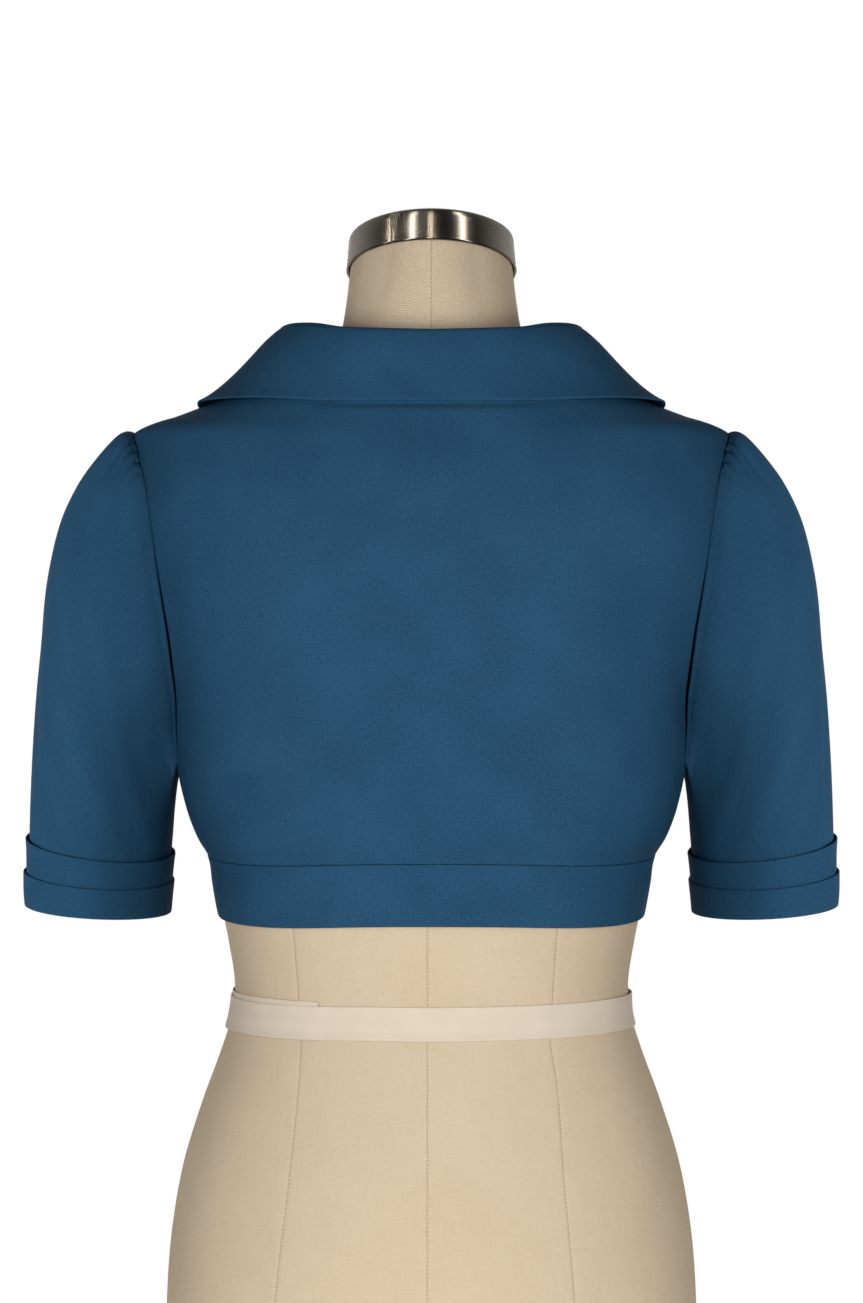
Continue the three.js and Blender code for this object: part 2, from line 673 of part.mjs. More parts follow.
/** The padded torso and neck, with flat plates where the arms would be. */
function formBody() {
  const mostApart = 36;
  const heights = SECTIONS.flatMap((row, i) => {
    const next = SECTIONS[i + 1];
    return next && next.side - row.side > mostApart ? [row.side, (row.side + next.side) / 2] : [row.side];
  });
  const slope = (ARM_PLATE.highX - ARM_PLATE.lowX) / (ARM_PLATE.highHeight - ARM_PLATE.lowHeight);
  return ringSolid(
    heights.map((height) => {
      const reach = reachAt(height);
      return steps(0, 2 * Math.PI, FORM_COLUMNS)
        .slice(0, -1)
        .map((angle) => {
          const p = formPoint(reach, angle);
          const plate = ARM_PLATE.lowX + slope * (p.z - ARM_PLATE.lowHeight);
          if (height >= ARM_PLATE.lowHeight) p.x = THREE.MathUtils.clamp(p.x, -plate, plate);
          return p;
        });
    }),
  );
}

function waistTape() {
  const ring = (height, lift) =>
    steps(0, 2 * Math.PI, FORM_COLUMNS)
      .slice(0, -1)
      .map((angle) => {
        const reach = reachAt(height - TAPE.sag * Math.max(0, Math.sin(angle)));
        return formPoint(reach, angle).addScaledVector(formNormal(reach, angle), lift);
      });
  const heights = [WAIST_HEIGHT - TAPE.height / 2, WAIST_HEIGHT + TAPE.height / 2];
  return clothWall(
    heights.map((h) => ring(h, TAPE.lift + TAPE.thickness)),
    heights.map((h) => ring(h, TAPE.lift)),
    true,
  );
}

/** A steel cup over the neck: its profile is turned, and flattened to the neck's oval. */
function neckCap() {
  const { halfWidth: r, wall: w, skirt, dome, flare } = CAP;
  const profile = [
    [0, 0],
    [r - w, 0],
    [r - w + flare, -skirt + w],
    [r + flare, -skirt + w],
    [r, w * 0.4],
    [r - 1, w],
    [r * 0.7, w + dome * 0.6],
    [0, w + dome],
  ].map(([x, y]) => new THREE.Vector2(x, y));
  const geometry = new THREE.LatheGeometry(profile, FORM_COLUMNS);
  geometry.rotateX(Math.PI / 2);
  geometry.scale(1, CAP.halfDepth / CAP.halfWidth, 1);
  return geometry;
}

const group = new THREE.Group();

/** A named mesh with a material of its own. */
function add(name, geometry, finish) {
  const mesh = new THREE.Mesh(geometry, new THREE.MeshStandardMaterial(finish));
  mesh.name = name;
  group.add(mesh);
  return mesh;
}

add("back", backPanel(), SATEEN);
const front = frontPanelGrids();
add("front_left", clothWall(front.outer, front.inner), SATEEN);
add("front_right", clothWall(mirrored(front.outer), mirrored(front.inner)), SATEEN);
add("collar", collarWall(), SATEEN);
add("hem_band", hemBand(), SATEEN);
for (const [name, side] of [
  ["left", 1],
  ["right", -1],
]) {
  add(`sleeve_${name}`, sleeveWall(side), SATEEN);
  add(`cuff_upper_${name}`, upperCuff(side), SATEEN);
  add(`cuff_lower_${name}`, lowerCuff(side), SATEEN);
}
add("form_body", formBody(), CANVAS);
add("waist_tape", waistTape(), TWILL);
const cap = add("neck_cap", neckCap(), STEEL);
const neckTop = SECTIONS.at(-1);
cap.position.set(0, neckTop.middle, neckTop.side + 2 * SEAM_GAP);
cap.rotation.x = degrees(CAP.tilt);

export default group;
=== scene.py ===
"""A cropped jacket in blue sateen on a limbless canvas dress form, seen from behind in a plain pale studio.

Lengths are in millimetres until a mesh is made, and heights are above the form's flat foot. The jacket faces -Y,
so +X is the wearer's left. A place on the body is given by its reach, which is the distance up the body's
outline, and by its angle: 0 is the wearer's left side and a quarter turn the back.
"""

from __future__ import annotations

import json
import logging
import math
from collections.abc import Mapping, Sequence
from dataclasses import dataclass, field
from enum import Enum

import bpy
import numpy as np
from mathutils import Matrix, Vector

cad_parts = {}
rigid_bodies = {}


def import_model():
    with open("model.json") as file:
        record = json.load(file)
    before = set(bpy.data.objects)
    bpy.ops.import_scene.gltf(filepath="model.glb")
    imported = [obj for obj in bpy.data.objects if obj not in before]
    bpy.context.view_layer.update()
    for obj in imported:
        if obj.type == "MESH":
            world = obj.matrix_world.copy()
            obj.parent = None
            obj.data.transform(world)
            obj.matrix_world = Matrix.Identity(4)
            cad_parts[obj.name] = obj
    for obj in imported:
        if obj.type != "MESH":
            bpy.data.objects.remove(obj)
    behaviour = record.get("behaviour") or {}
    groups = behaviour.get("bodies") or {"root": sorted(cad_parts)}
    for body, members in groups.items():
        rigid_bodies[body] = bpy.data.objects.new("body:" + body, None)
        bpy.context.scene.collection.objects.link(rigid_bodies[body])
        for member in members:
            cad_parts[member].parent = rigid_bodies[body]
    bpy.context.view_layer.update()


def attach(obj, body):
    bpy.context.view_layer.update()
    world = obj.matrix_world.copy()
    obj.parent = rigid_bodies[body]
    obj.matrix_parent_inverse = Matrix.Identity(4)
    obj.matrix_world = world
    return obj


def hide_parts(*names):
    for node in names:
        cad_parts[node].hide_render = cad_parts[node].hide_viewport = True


Array = np.ndarray
Colour = tuple[float, float, float]

MM = 0.001
TINY = 1e-9
WELD_DECIMALS = 4
LOG = logging.getLogger("jacket")


# Curves and surfaces


def smooth_through(places: Array, values: Array, at: Array) -> Array:
    """Joins the values at rising places by a smooth curve.

    Between two places the value is v0 (2u^3 - 3u^2 + 1) + v1 (3u^2 - 2u^3) + h (m0 (u^3 - 2u^2 + u) + m1 (u^3 - u^2)),
    where u runs from 0 to 1 and h is the step. The slope m at a place is the mean of the slopes on both sides, each
    weighted with the other side's step.

    Args:
        places: The rising places, one for each value.
        values: The values, along the first axis.
        at: Where the curve is read.

    Returns:
        The values there, in the shape of at followed by the shape of one value.
    """
    extra = (1,) * (values.ndim - 1)
    steps = np.diff(places)
    wide = steps.reshape(-1, *extra)
    rises = np.diff(values, axis=0) / wide
    inner = (rises[:-1] * wide[1:] + rises[1:] * wide[:-1]) / (wide[1:] + wide[:-1])
    slopes = np.concatenate([rises[:1], inner, rises[-1:]])
    at = np.asarray(at, dtype=float)
    i = np.searchsorted(places[1:-1], at, side="left")
    u = np.clip((at - places[i]) / steps[i], 0, 1).reshape(*at.shape, *extra)
    h = steps[i].reshape(*at.shape, *extra)
    u2, u3 = u**2, u**3
    return (
        values[i] * (2 * u3 - 3 * u2 + 1)
        + values[i + 1] * (3 * u2 - 2 * u3)
        + h * (slopes[i] * (u3 - 2 * u2 + u) + slopes[i + 1] * (u3 - u2))
    )


class Table:
    """Rows of numbers with named columns. Each column is a smooth curve against the first, rising one."""

    def __init__(self, names: str, rows: Sequence[Sequence[float]]) -> None:
        """Keeps the columns."""
        self.names = names.split()
        self.columns = dict(zip(self.names, np.array(rows, dtype=float).T))

    def __getitem__(self, name: str) -> Array:
        """One column's own values."""
        return self.columns[name]

    def at(self, name: str, place: Array, against: Array | None = None) -> Array:
        """Reads a column's curve."""
        places = self.columns[self.names[0]] if against is None else against
        return smooth_through(places, self.columns[name], place)


def smoothstep(x: Array, low: float, high: float) -> Array:
    """Rises from 0 at low to 1 at high as 3t^2 - 2t^3."""
    t = np.clip((x - low) / (high - low), 0, 1)
    return t * t * (3 - 2 * t)


def unit(vectors: Array) -> Array:
    """The vectors along the last axis, each divided by its length."""
    return vectors / np.maximum(np.linalg.norm(vectors, axis=-1, keepdims=True), TINY)


def grid_normals(points: Array, ring: bool) -> Array:
    """Unit normals of a grid: the step along its columns crossed with the step along its rows.

    Args:
        points: Rows by columns by 3.
        ring: Whether the last column meets the first.

    Returns:
        The normals, in the shape of points.
    """
    if ring:
        across = np.roll(points, -1, axis=1) - np.roll(points, 1, axis=1)
    else:
        across = np.gradient(points, axis=1)
    return unit(np.cross(across, np.gradient(points, axis=0)))


def arc_lengths(points: Array, axis: int) -> Array:
    """Distance run along a grid's axis, 0 at its first line.

    Args:
        points: Rows by columns by 3.
        axis: 0 up the rows or 1 across the columns.

    Returns:
        The distances, rows by columns.
    """
    steps = np.linalg.norm(np.diff(points, axis=axis), axis=-1)
    start = np.zeros_like(points[:1, :, 0] if axis == 0 else points[:, :1, 0])
    return np.concatenate([start, np.cumsum(steps, axis=axis)], axis=axis)


def path_distance(points: Array, path: Array) -> Array:
    """Distance from each point to the nearest place on a path of straight pieces.

    A piece from a to b is nearest at a + t (b - a), where t is (p - a).(b - a) / |b - a|^2 held within 0 and 1.

    Args:
        points: Rows by columns by 3.
        path: Its corners, n by 3.

    Returns:
        The distances, rows by columns.
    """
    starts, legs = path[:-1], np.diff(path, axis=0)
    squares = np.maximum((legs**2).sum(axis=-1), 1e-12)
    nearest = []
    for row in points:
        away = row[:, None, :] - starts
        t = np.clip((away * legs).sum(axis=-1) / squares, 0, 1)
        gaps = away - t[..., None] * legs
        nearest.append(np.sqrt((gaps**2).sum(axis=-1).min(axis=1)))
    return np.array(nearest)


def shares(count: int, length: float, fine: Sequence[float] = (0.25, 0.6, 1.1, 1.8, 2.8)) -> Array:
    """Even shares from 0 to 1, with closer ones near both ends for a rounded edge.

    Args:
        count: How many even steps.
        length: The line's length.
        fine: Distances from each end that get a share of their own.

    Returns:
        The rising shares.
    """
    near = np.array(fine) / length
    plain = np.linspace(0, 1, count + 1)
    keep = (plain > near[-1] * 1.15) & (plain < 1 - near[-1] * 1.15)
    return np.concatenate([[0], near, plain[keep], 1 - near[::-1], [1]])


def wavy(x: Array, waves: Sequence[tuple[float, float, float]]) -> Array:
    """A sum of uneven waves, each share * sin(2 pi x / length + turn)."""
    return sum(share * np.sin(2 * math.pi * x / length + turn) for length, turn, share in waves)


PUCKER_WAVES = ((9.1, 0.4, 0.45), (13.7, 2.1, 0.35), (6.3, 4.4, 0.2), (23.0, 1.2, 0.3))
DRAPE_WAVES = ((147.0, 0.7, 0.5), (93.0, 2.9, 0.3), (61.0, 5.1, 0.2))


def uneven(points: Array, depth: float) -> Array:
    """The slight unevenness of hanging cloth: broad waves over x + y times broad waves over z.

    Args:
        points: Rows by columns by 3.
        depth: How far it moves the cloth at most.

    Returns:
        The rise along the normal, rows by columns.
    """
    x, y, z = points[..., 0], points[..., 1], points[..., 2]
    across = wavy(x + 0.6 * y + 0.35 * z, DRAPE_WAVES)
    up = wavy(z - 0.25 * x + 40, DRAPE_WAVES)
    return depth * (0.6 * across * up + 0.4 * up)


@dataclass(frozen=True)
class Crease:
    """A soft fold in the view from behind, from one x and z to another. A positive depth is a ridge."""

    start: tuple[float, float]
    end: tuple[float, float]
    width: float
    depth: float

    def rise(self, points: Array) -> Array:
        """The fold's height: depth * exp(-(distance / width)^2), faded as sin(pi t)^0.7 along its line.

        Args:
            points: Rows by columns by 3.

        Returns:
            The rise along the normal, rows by columns.
        """
        start, leg = np.array(self.start), np.subtract(self.end, self.start)
        away = points[..., [0, 2]] - start
        t = (away @ leg) / (leg @ leg)
        held = np.clip(t, 0, 1)
        gap = np.linalg.norm(away - held[..., None] * leg, axis=-1)
        fade = np.sin(math.pi * np.clip(0.06 + 0.88 * held, 0, 1)) ** 0.7
        return self.depth * fade * np.exp(-((gap / self.width) ** 2))


# Meshes


def cell_quads(rows: int, columns: int) -> Array:
    """The cells of a grid, each by the numbers of its corners from the low left one round by the low right one."""
    index = np.arange(rows * columns).reshape(rows, columns)
    return np.stack([index[:-1, :-1], index[:-1, 1:], index[1:, 1:], index[1:, :-1]], axis=-1).reshape(-1, 4)


def on_ring(numbers: Array, wide: int, columns: int) -> Array:
    """Turns numbers on a grid this wide into vertex numbers, where any column past the last is the first again."""
    return numbers // wide * columns + numbers % wide % columns


def closed_ring(grid: Array) -> Array:
    """A grid with its first column once more at its end."""
    return np.concatenate([grid, grid[:, :1]], axis=1)


class Edge(Enum):
    """How a cloth's edge is finished."""

    SEAM = "sewn to its neighbour, so that it sinks towards the seam"
    FOLD = "turned over on itself, so that it is round"
    OPEN = "left square under another piece"


def thickness_shares(distance: Array, edge: Edge, radius: float, left: float) -> tuple[Array, Array]:
    """Where the inside and outside faces lie in the cloth's thickness, near an edge.

    The roundness r is the quarter circle sqrt(1 - (1 - d / radius)^2). Sewn cloth has faces at 0 and s + (1 - s) r,
    where s is the share left at the seam. Folded cloth has them at 0.45 (1 - r) and 0.55 + 0.45 r.

    Args:
        distance: Distance to the edge.
        edge: How the edge is finished.
        radius: How far the rounding reaches.
        left: The share of the thickness that is left at a seam.

    Returns:
        The inside and the outside share, 0 to 1.
    """
    r = np.sqrt(1 - (1 - np.clip(distance / radius, 0, 1)) ** 2)
    if edge is Edge.SEAM:
        return np.zeros_like(r), left + (1 - left) * r
    if edge is Edge.FOLD:
        return 0.45 * (1 - r), 0.55 + 0.45 * r
    return np.zeros_like(r), np.ones_like(r)


@dataclass
class Cloth:
    """A piece of cloth as two faces on one grid, with its finished edges."""

    inside: Array
    outside: Array
    ring: bool = False
    edges: Mapping[str, Edge] = field(default_factory=dict)
    radius: float = 1.2
    seam_share: float = 0.5

    def borders(self) -> dict[str, Array]:
        """The grid's border paths by name."""
        paths = {"bottom": self.outside[0], "top": self.outside[-1]}
        if self.ring:
            return {name: np.vstack([path, path[:1]]) for name, path in paths.items()}
        return paths | {"first": self.outside[:, 0], "last": self.outside[:, -1]}

    def finished(self) -> tuple[Array, Array]:
        """The inside and outside grids once every edge is rounded.

        Returns:
            Both grids, rows by columns by 3.
        """
        low = np.zeros(self.outside.shape[:2])
        high = np.ones(self.outside.shape[:2])
        for name, path in self.borders().items():
            gap = path_distance(self.outside, path)
            edge = self.edges.get(name, Edge.SEAM)
            inner, outer = thickness_shares(gap, edge, self.radius, self.seam_share)
            low, high = np.maximum(low, inner), np.minimum(high, outer)
        through = self.outside - self.inside
        return self.inside + low[..., None] * through, self.inside + high[..., None] * through

    def pattern_map(self) -> Array:
        """The cloth's own coordinates: distance round from the middle column, and distance up.

        Returns:
            Rows by columns by 2, with one more column on a ring.
        """
        points = closed_ring(self.outside) if self.ring else self.outside
        round_it = arc_lengths(points, 1)
        middle = round_it[:, round_it.shape[1] // 2, None]
        return np.stack([round_it - middle, arc_lengths(points, 0)], axis=-1)

    def build(self, name: str) -> bpy.types.Object:
        """Makes the closed shell: the outside, the inside the other way round, and a strip along each border.

        Args:
            name: The piece's name.

        Returns:
            The object, linked to the scene.
        """
        inside, outside = self.finished()
        rows, columns = outside.shape[:2]
        uv = self.pattern_map()
        wide = uv.shape[1]
        cells = cell_quads(rows, wide)
        number = np.arange(rows * wide).reshape(rows, wide)
        borders = [number[0], number[-1, ::-1]]
        if not self.ring:
            borders += [number[::-1, 0], number[:, -1]]
        strips = np.concatenate([np.stack([border[1:], border[:-1]], axis=-1) for border in borders])
        turned = cells[:, [0, 3, 2, 1]]
        places = np.concatenate([cells, turned, np.concatenate([strips, strips[:, ::-1]], axis=1)])
        under = np.zeros_like(places)
        under[len(cells) : 2 * len(cells)] = rows * columns
        under[2 * len(cells) :, 2:] = rows * columns
        points = np.concatenate([outside.reshape(-1, 3), inside.reshape(-1, 3)])
        return make_object(name, points, on_ring(places, wide, columns) + under, uv.reshape(-1, 2)[places])


def signed_volume(points: Array, faces: Array) -> float:
    """Six times the volume inside a closed mesh of quads: the sum of a.(b x c) over its triangles."""
    a, b, c, d = (points[faces[:, k]] for k in range(4))
    return float((a * (np.cross(b, c) + np.cross(c, d))).sum())


def make_object(
    name: str, points: Array, faces: Array, maps: Array, marks: Mapping[str, Array] | None = None
) -> bpy.types.Object:
    """Makes a smooth closed mesh object at the origin, with its faces pointing out.

    Vertices in the same place become one, so a ring shrunk to a point closes in triangles.

    Args:
        name: The piece's name.
        points: Vertices in millimetres, n by 3.
        faces: Vertex numbers, m by 4.
        maps: Pattern coordinates in millimetres for each face's corners, m by 4 by 2.
        marks: Named values for each vertex.

    Returns:
        The object, linked to the scene.
    """
    _, first, place = np.unique(points.round(WELD_DECIMALS), axis=0, return_index=True, return_inverse=True)
    points, faces = points[first], place.reshape(-1)[faces]
    if signed_volume(points, faces) < 0:
        faces, maps = faces[:, ::-1], maps[:, ::-1]
    keep = faces != np.roll(faces, 1, axis=1)
    whole = keep.all(axis=1)
    three = keep.sum(axis=1) == 3
    triangles = faces[three][keep[three]].reshape(-1, 3)
    mesh = bpy.data.meshes.new(name)
    mesh.from_pydata((points * MM).tolist(), [], faces[whole].tolist() + triangles.tolist())
    layer = mesh.uv_layers.new(name="cloth")
    corners = np.concatenate([maps[whole].reshape(-1, 2), maps[three][keep[three]]])
    layer.data.foreach_set("uv", corners.astype(np.float32).ravel())
    for mark, values in (marks or {}).items():
        mesh.attributes.new(mark, "FLOAT", "POINT").data.foreach_set("value", values.ravel()[first].astype(np.float32))
    mesh.shade_smooth()
    mesh.update()
    piece = bpy.data.objects.new(name, mesh)
    bpy.context.scene.collection.objects.link(piece)
    return piece


# Shader maths and finishes


class Signal:
    """A socket in shader maths. An expression on signals adds the Math nodes that work it out."""

    def __init__(self, recipe: "Recipe", socket: bpy.types.NodeSocket) -> None:
        """Keeps the socket and the recipe that it belongs to."""
        self.recipe = recipe
        self.socket = socket

    def math(self, operation: str, *others: "Signal | float", clamp: bool = False) -> "Signal":
        """Adds one Math node."""
        inputs = dict(enumerate((self, *others)))
        return self.recipe.node("ShaderNodeMath", {"operation": operation, "use_clamp": clamp}, inputs)

    def __add__(self, other: "Signal | float") -> "Signal":
        """This plus other."""
        return self.math("ADD", other)

    __radd__ = __add__

    def __sub__(self, other: "Signal | float") -> "Signal":
        """This minus other."""
        return self.math("SUBTRACT", other)

    def __rsub__(self, other: float) -> "Signal":
        """Other minus this."""
        return self.recipe.number_math("SUBTRACT", other, self)

    def __mul__(self, other: "Signal | float") -> "Signal":
        """This times other."""
        return self.math("MULTIPLY", other)

    __rmul__ = __mul__

    def __truediv__(self, other: "Signal | float") -> "Signal":
        """This divided by other."""
        return self.math("DIVIDE", other)

    def __pow__(self, other: float) -> "Signal":
        """This to a power."""
        return self.math("POWER", other)

    def sine(self) -> "Signal":
        """The sine of this."""
        return self.math("SINE")

    def size(self) -> "Signal":
        """This without its sign."""
        return self.math("ABSOLUTE")

    def fraction(self) -> "Signal":
        """This without its whole part."""
        return self.math("FRACT")

    def held(self) -> "Signal":
        """This kept within 0 and 1."""
        return self.math("ADD", 0.0, clamp=True)

    def below(self, limit: float, soft: float) -> "Signal":
        """1 under the limit and 0 over it, with a straight ramp as wide as soft between them."""
        return ((limit - self) / soft + 0.5).held()


class Recipe:
    """The node tree of a material or of the surroundings."""

    def __init__(self, owner: bpy.types.ID) -> None:
        """Empties the owner's tree."""
        self.owner = owner
        self.owner.use_nodes = True
        self.tree = self.owner.node_tree
        self.tree.nodes.clear()

    @classmethod
    def for_finish(cls, name: str) -> "Recipe":
        """The recipe of a new material."""
        return cls(bpy.data.materials.new(name))

    def node(
        self,
        kind: str,
        settings: Mapping[str, object] | None = None,
        sockets: Mapping[int | str, object] | None = None,
        output: int | str = 0,
    ) -> Signal:
        """Adds a node of any type.

        Args:
            kind: The node's type.
            settings: Its properties, set before its sockets.
            sockets: Values or signals by the input's name or number.
            output: The output that is wanted.

        Returns:
            That output.
        """
        node = self.tree.nodes.new(kind)
        for name, value in (settings or {}).items():
            setattr(node, name, value)
        for key, value in (sockets or {}).items():
            if isinstance(value, Signal):
                self.tree.links.new(value.socket, node.inputs[key])
            else:
                node.inputs[key].default_value = value
        return Signal(self, node.outputs[output] if len(node.outputs) else None)

    def number_math(self, operation: str, first: float, second: Signal) -> Signal:
        """A Math node whose first input is a number."""
        return self.node("ShaderNodeMath", {"operation": operation}, {0: first, 1: second})

    def cloth_map(self) -> Signal:
        """The cloth's own coordinates in millimetres."""
        return self.node("ShaderNodeUVMap", {"uv_map": "cloth"})

    def object_place(self) -> Signal:
        """The place on the object, in metres."""
        return self.node("ShaderNodeTexCoord", output="Object")

    def parts(self, vector: Signal) -> tuple[Signal, Signal, Signal]:
        """A vector's three numbers."""
        node = self.node("ShaderNodeSeparateXYZ", None, {0: vector}).socket.node
        return tuple(Signal(self, node.outputs[k]) for k in range(3))

    def scaled(self, vector: Signal, scale: Sequence[float], turn: float = 0.0) -> Signal:
        """Turns a vector about Z and stretches it along each axis."""
        sockets = {"Vector": vector, "Scale": tuple(scale), "Rotation": (0, 0, turn)}
        return self.node("ShaderNodeMapping", None, sockets)

    def noise(self, vector: Signal, size: float, detail: float = 2.0, rough: float = 0.5) -> Signal:
        """Soft noise around 0, from about -0.5 to 0.5."""
        sockets = {"Vector": vector, "Scale": 1 / size, "Detail": detail, "Roughness": rough}
        return self.node("ShaderNodeTexNoise", None, sockets) - 0.5

    def tint(self, first: Colour | Signal, second: Colour | Signal, share: Signal) -> Signal:
        """Mixes two colours.

        Args:
            first: The colour at share 0.
            second: The colour at share 1.
            share: How much of the second.

        Returns:
            The mixed colour.
        """
        both = [c if isinstance(c, Signal) else (*c, 1.0) for c in (first, second)]
        sockets = {0: share, 6: both[0], 7: both[1]}
        return self.node("ShaderNodeMix", {"data_type": "RGBA", "clamp_factor": True}, sockets, output=2)

    def bump(self, height: Signal, depth: float) -> Signal:
        """A normal from a height of 0 to 1 that stands for this depth in millimetres."""
        sockets = {"Strength": 1.0, "Distance": depth * MM, "Height": height}
        return self.node("ShaderNodeBump", None, sockets)

    def finish(self, **inputs: object) -> bpy.types.Material:
        """Ends the tree with one Principled surface.

        Args:
            inputs: Its sockets, with underscores for the spaces in their names.

        Returns:
            The material.
        """
        sockets = {name.replace("_", " "): value for name, value in inputs.items()}
        surface = self.node("ShaderNodeBsdfPrincipled", None, sockets)
        self.node("ShaderNodeOutputMaterial", None, {"Surface": surface})
        return self.owner


def from_screen(red: float, green: float, blue: float) -> Colour:
    """A colour's light values from its screen values of 0 to 255."""
    values = np.array([red, green, blue]) / 255
    linear = np.where(values <= 0.04045, values / 12.92, ((values + 0.055) / 1.055) ** 2.4)
    return tuple(float(v) for v in linear)


@dataclass(frozen=True)
class Sateen:
    """Dyed stretch sateen: a smooth face of long floating threads with a broad soft sheen."""

    name: str = "blue_sateen"
    deep: Colour = from_screen(25, 57, 84)
    bright: Colour = from_screen(50, 93, 124)
    thread: float = 0.34
    float_length: float = 1.9
    roughness: float = 0.6

    def build(self) -> bpy.types.Material:
        """Threads run up the cloth: the bump is |sin(pi u / thread)| broken into floats by stretched noise."""
        recipe = Recipe.for_finish(self.name)
        cloth = recipe.cloth_map()
        u, v, _ = recipe.parts(cloth)
        floats = recipe.noise(recipe.scaled(cloth, (1 / self.thread, 1 / self.float_length, 1)), 1.0, 1.0)
        threads = ((u * (math.pi / self.thread)).sine()).size()
        weft = ((v * (math.pi / (self.thread * 1.15))).sine()).size()
        weave = threads * 0.6 + weft * 0.25 + floats * 0.9
        patches = recipe.noise(cloth, 46.0, 2.0, 0.45)
        grain = recipe.noise(cloth, 1.4, 3.0, 0.65)
        slubs = recipe.noise(recipe.scaled(cloth, (1 / 0.9, 1 / 16.0, 1)), 1.0, 1.0)
        lightness = (0.5 + patches * 0.5 + grain * 1.3 + slubs * 0.15 + (weave - 0.5) * 0.2).held()
        base = recipe.tint(self.deep, self.bright, lightness)
        rough = self.roughness + grain * 0.1 + floats * 0.12
        return recipe.finish(
            Base_Color=base,
            Roughness=rough.held(),
            Specular_IOR_Level=0.03,
            Normal=recipe.bump(weave + grain * 0.8, 0.05),
        )


@dataclass(frozen=True)
class Canvas:
    """Natural linen canvas of a dress form: plain weave with slubs, darker in its stitched seams."""

    name: str = "linen_canvas"
    pale: Colour = from_screen(216, 197, 172)
    shaded: Colour = from_screen(194, 173, 143)
    hole: Colour = from_screen(120, 96, 70)
    thread: float = 0.62
    stitch: float = 2.4
    twill: float = 1.5
    neck_from: float = 0.65

    def build(self) -> bpy.types.Material:
        """Plain weave: warp |sin(pi u / p)| and weft |sin(pi v / p)| change places on a checkerboard of threads.

        The attribute from_seam holds the distance to the nearest seam. A seam is a dark line there, with a hole
        wherever the fraction of v over the stitch length is low.
        """
        recipe = Recipe.for_finish(self.name)
        cloth = recipe.cloth_map()
        u, v, _ = recipe.parts(cloth)
        warp = (u * (math.pi / self.thread)).sine()
        weft = (v * (math.pi / self.thread)).sine()
        over = (warp * weft * 4.0 + 0.5).held()
        weave = warp.size() * over + weft.size() * (1 - over)
        slub_up = recipe.noise(recipe.scaled(cloth, (1 / 0.9, 1 / 14.0, 1)), 1.0, 2.0)
        slub_across = recipe.noise(recipe.scaled(cloth, (1 / 14.0, 1 / 0.9, 1)), 1.0, 2.0)
        grain = recipe.noise(cloth, 0.9, 2.0, 0.7)
        place = recipe.object_place()
        patches = recipe.noise(place, 0.07, 2.0)
        neck = ((recipe.parts(place)[2] - self.neck_from) * 200.0).held()
        twill = ((u + v) * (math.pi / self.twill)).sine().size() - 0.6
        coarse = recipe.noise(cloth, 1.6, 1.0) + twill * 0.55
        plain = 0.5 + weave * 0.16 + slub_up * 0.5 + slub_across * 0.6 + grain * 0.8 + patches * 0.5
        lightness = (plain + neck * coarse * 1.6).held()
        ground = recipe.tint(self.shaded, self.pale, lightness)
        from_seam = recipe.node("ShaderNodeAttribute", {"attribute_name": "from_seam"}, output="Fac")
        wander = from_seam + slub_up * 0.25
        line = wander.below(0.26, 0.3)
        stitched = from_seam.below(0.34, 0.3) * ((v / self.stitch).fraction() - 0.5).size().below(0.15, 0.08)
        seam = (line * 0.2 + stitched * 0.42).held()
        base = recipe.tint(ground, self.hole, seam)
        height = weave * 0.8 + slub_across * 0.8 + slub_up * 0.6 + neck * twill - seam * 1.6
        return recipe.finish(
            Base_Color=base,
            Roughness=(0.86 + grain * 0.12).held(),
            Specular_IOR_Level=0.03,
            Normal=recipe.bump(height, 0.14),
        )


@dataclass(frozen=True)
class Twill:
    """Off-white cotton tape in a herringbone twill, with a firm woven edge."""

    name: str = "twill_tape"
    pale: Colour = from_screen(222, 209, 191)
    shaded: Colour = from_screen(199, 184, 162)
    rib: float = 0.9
    band: float = 5.0

    def build(self) -> bpy.types.Material:
        """Ribs follow |sin(pi (u + s v) / rib)|, where the slant s turns over in each band across the tape."""
        recipe = Recipe.for_finish(self.name)
        cloth = recipe.cloth_map()
        u, v, _ = recipe.parts(cloth)
        slanted = ((v / (2 * self.band)).fraction() - 0.5).size() * (2 * self.band)
        ribs = (((u + slanted) * (math.pi / self.rib)).sine()).size()
        grain = recipe.noise(cloth, 0.7, 2.0, 0.6)
        stains = recipe.noise(cloth, 18.0, 2.0)
        lightness = (0.45 + ribs * 0.3 + grain * 0.5 + stains * 0.5).held()
        return recipe.finish(
            Base_Color=recipe.tint(self.shaded, self.pale, lightness),
            Roughness=(0.82 + grain * 0.1).held(),
            Specular_IOR_Level=0.04,
            Normal=recipe.bump(ribs + grain * 0.5, 0.12),
        )


@dataclass(frozen=True)
class BrushedSteel:
    """Dark brushed steel, with its scratches running round the cap."""

    name: str = "brushed_steel"
    dark: Colour = from_screen(112, 104, 94)
    light: Colour = from_screen(168, 161, 150)
    roughness: float = 0.17

    def build(self) -> bpy.types.Material:
        """Scratches are noise stretched 60 times along u, the distance round the cap."""
        recipe = Recipe.for_finish(self.name)
        cloth = recipe.cloth_map()
        scratches = recipe.noise(recipe.scaled(cloth, (1 / 18.0, 1 / 0.3, 1)), 1.0, 3.0, 0.7)
        fine = recipe.noise(recipe.scaled(cloth, (1 / 7.0, 1 / 0.12, 1)), 1.0, 2.0, 0.6)
        smudges = recipe.noise(cloth, 14.0, 2.0)
        lightness = (0.5 + scratches * 1.3 + fine * 0.8 + smudges * 0.3).held()
        return recipe.finish(
            Base_Color=recipe.tint(self.dark, self.light, lightness),
            Metallic=1.0,
            Roughness=(self.roughness + scratches * 0.12 + smudges * 0.08).held(),
            Normal=recipe.bump(scratches + fine * 0.5, 0.02),
        )


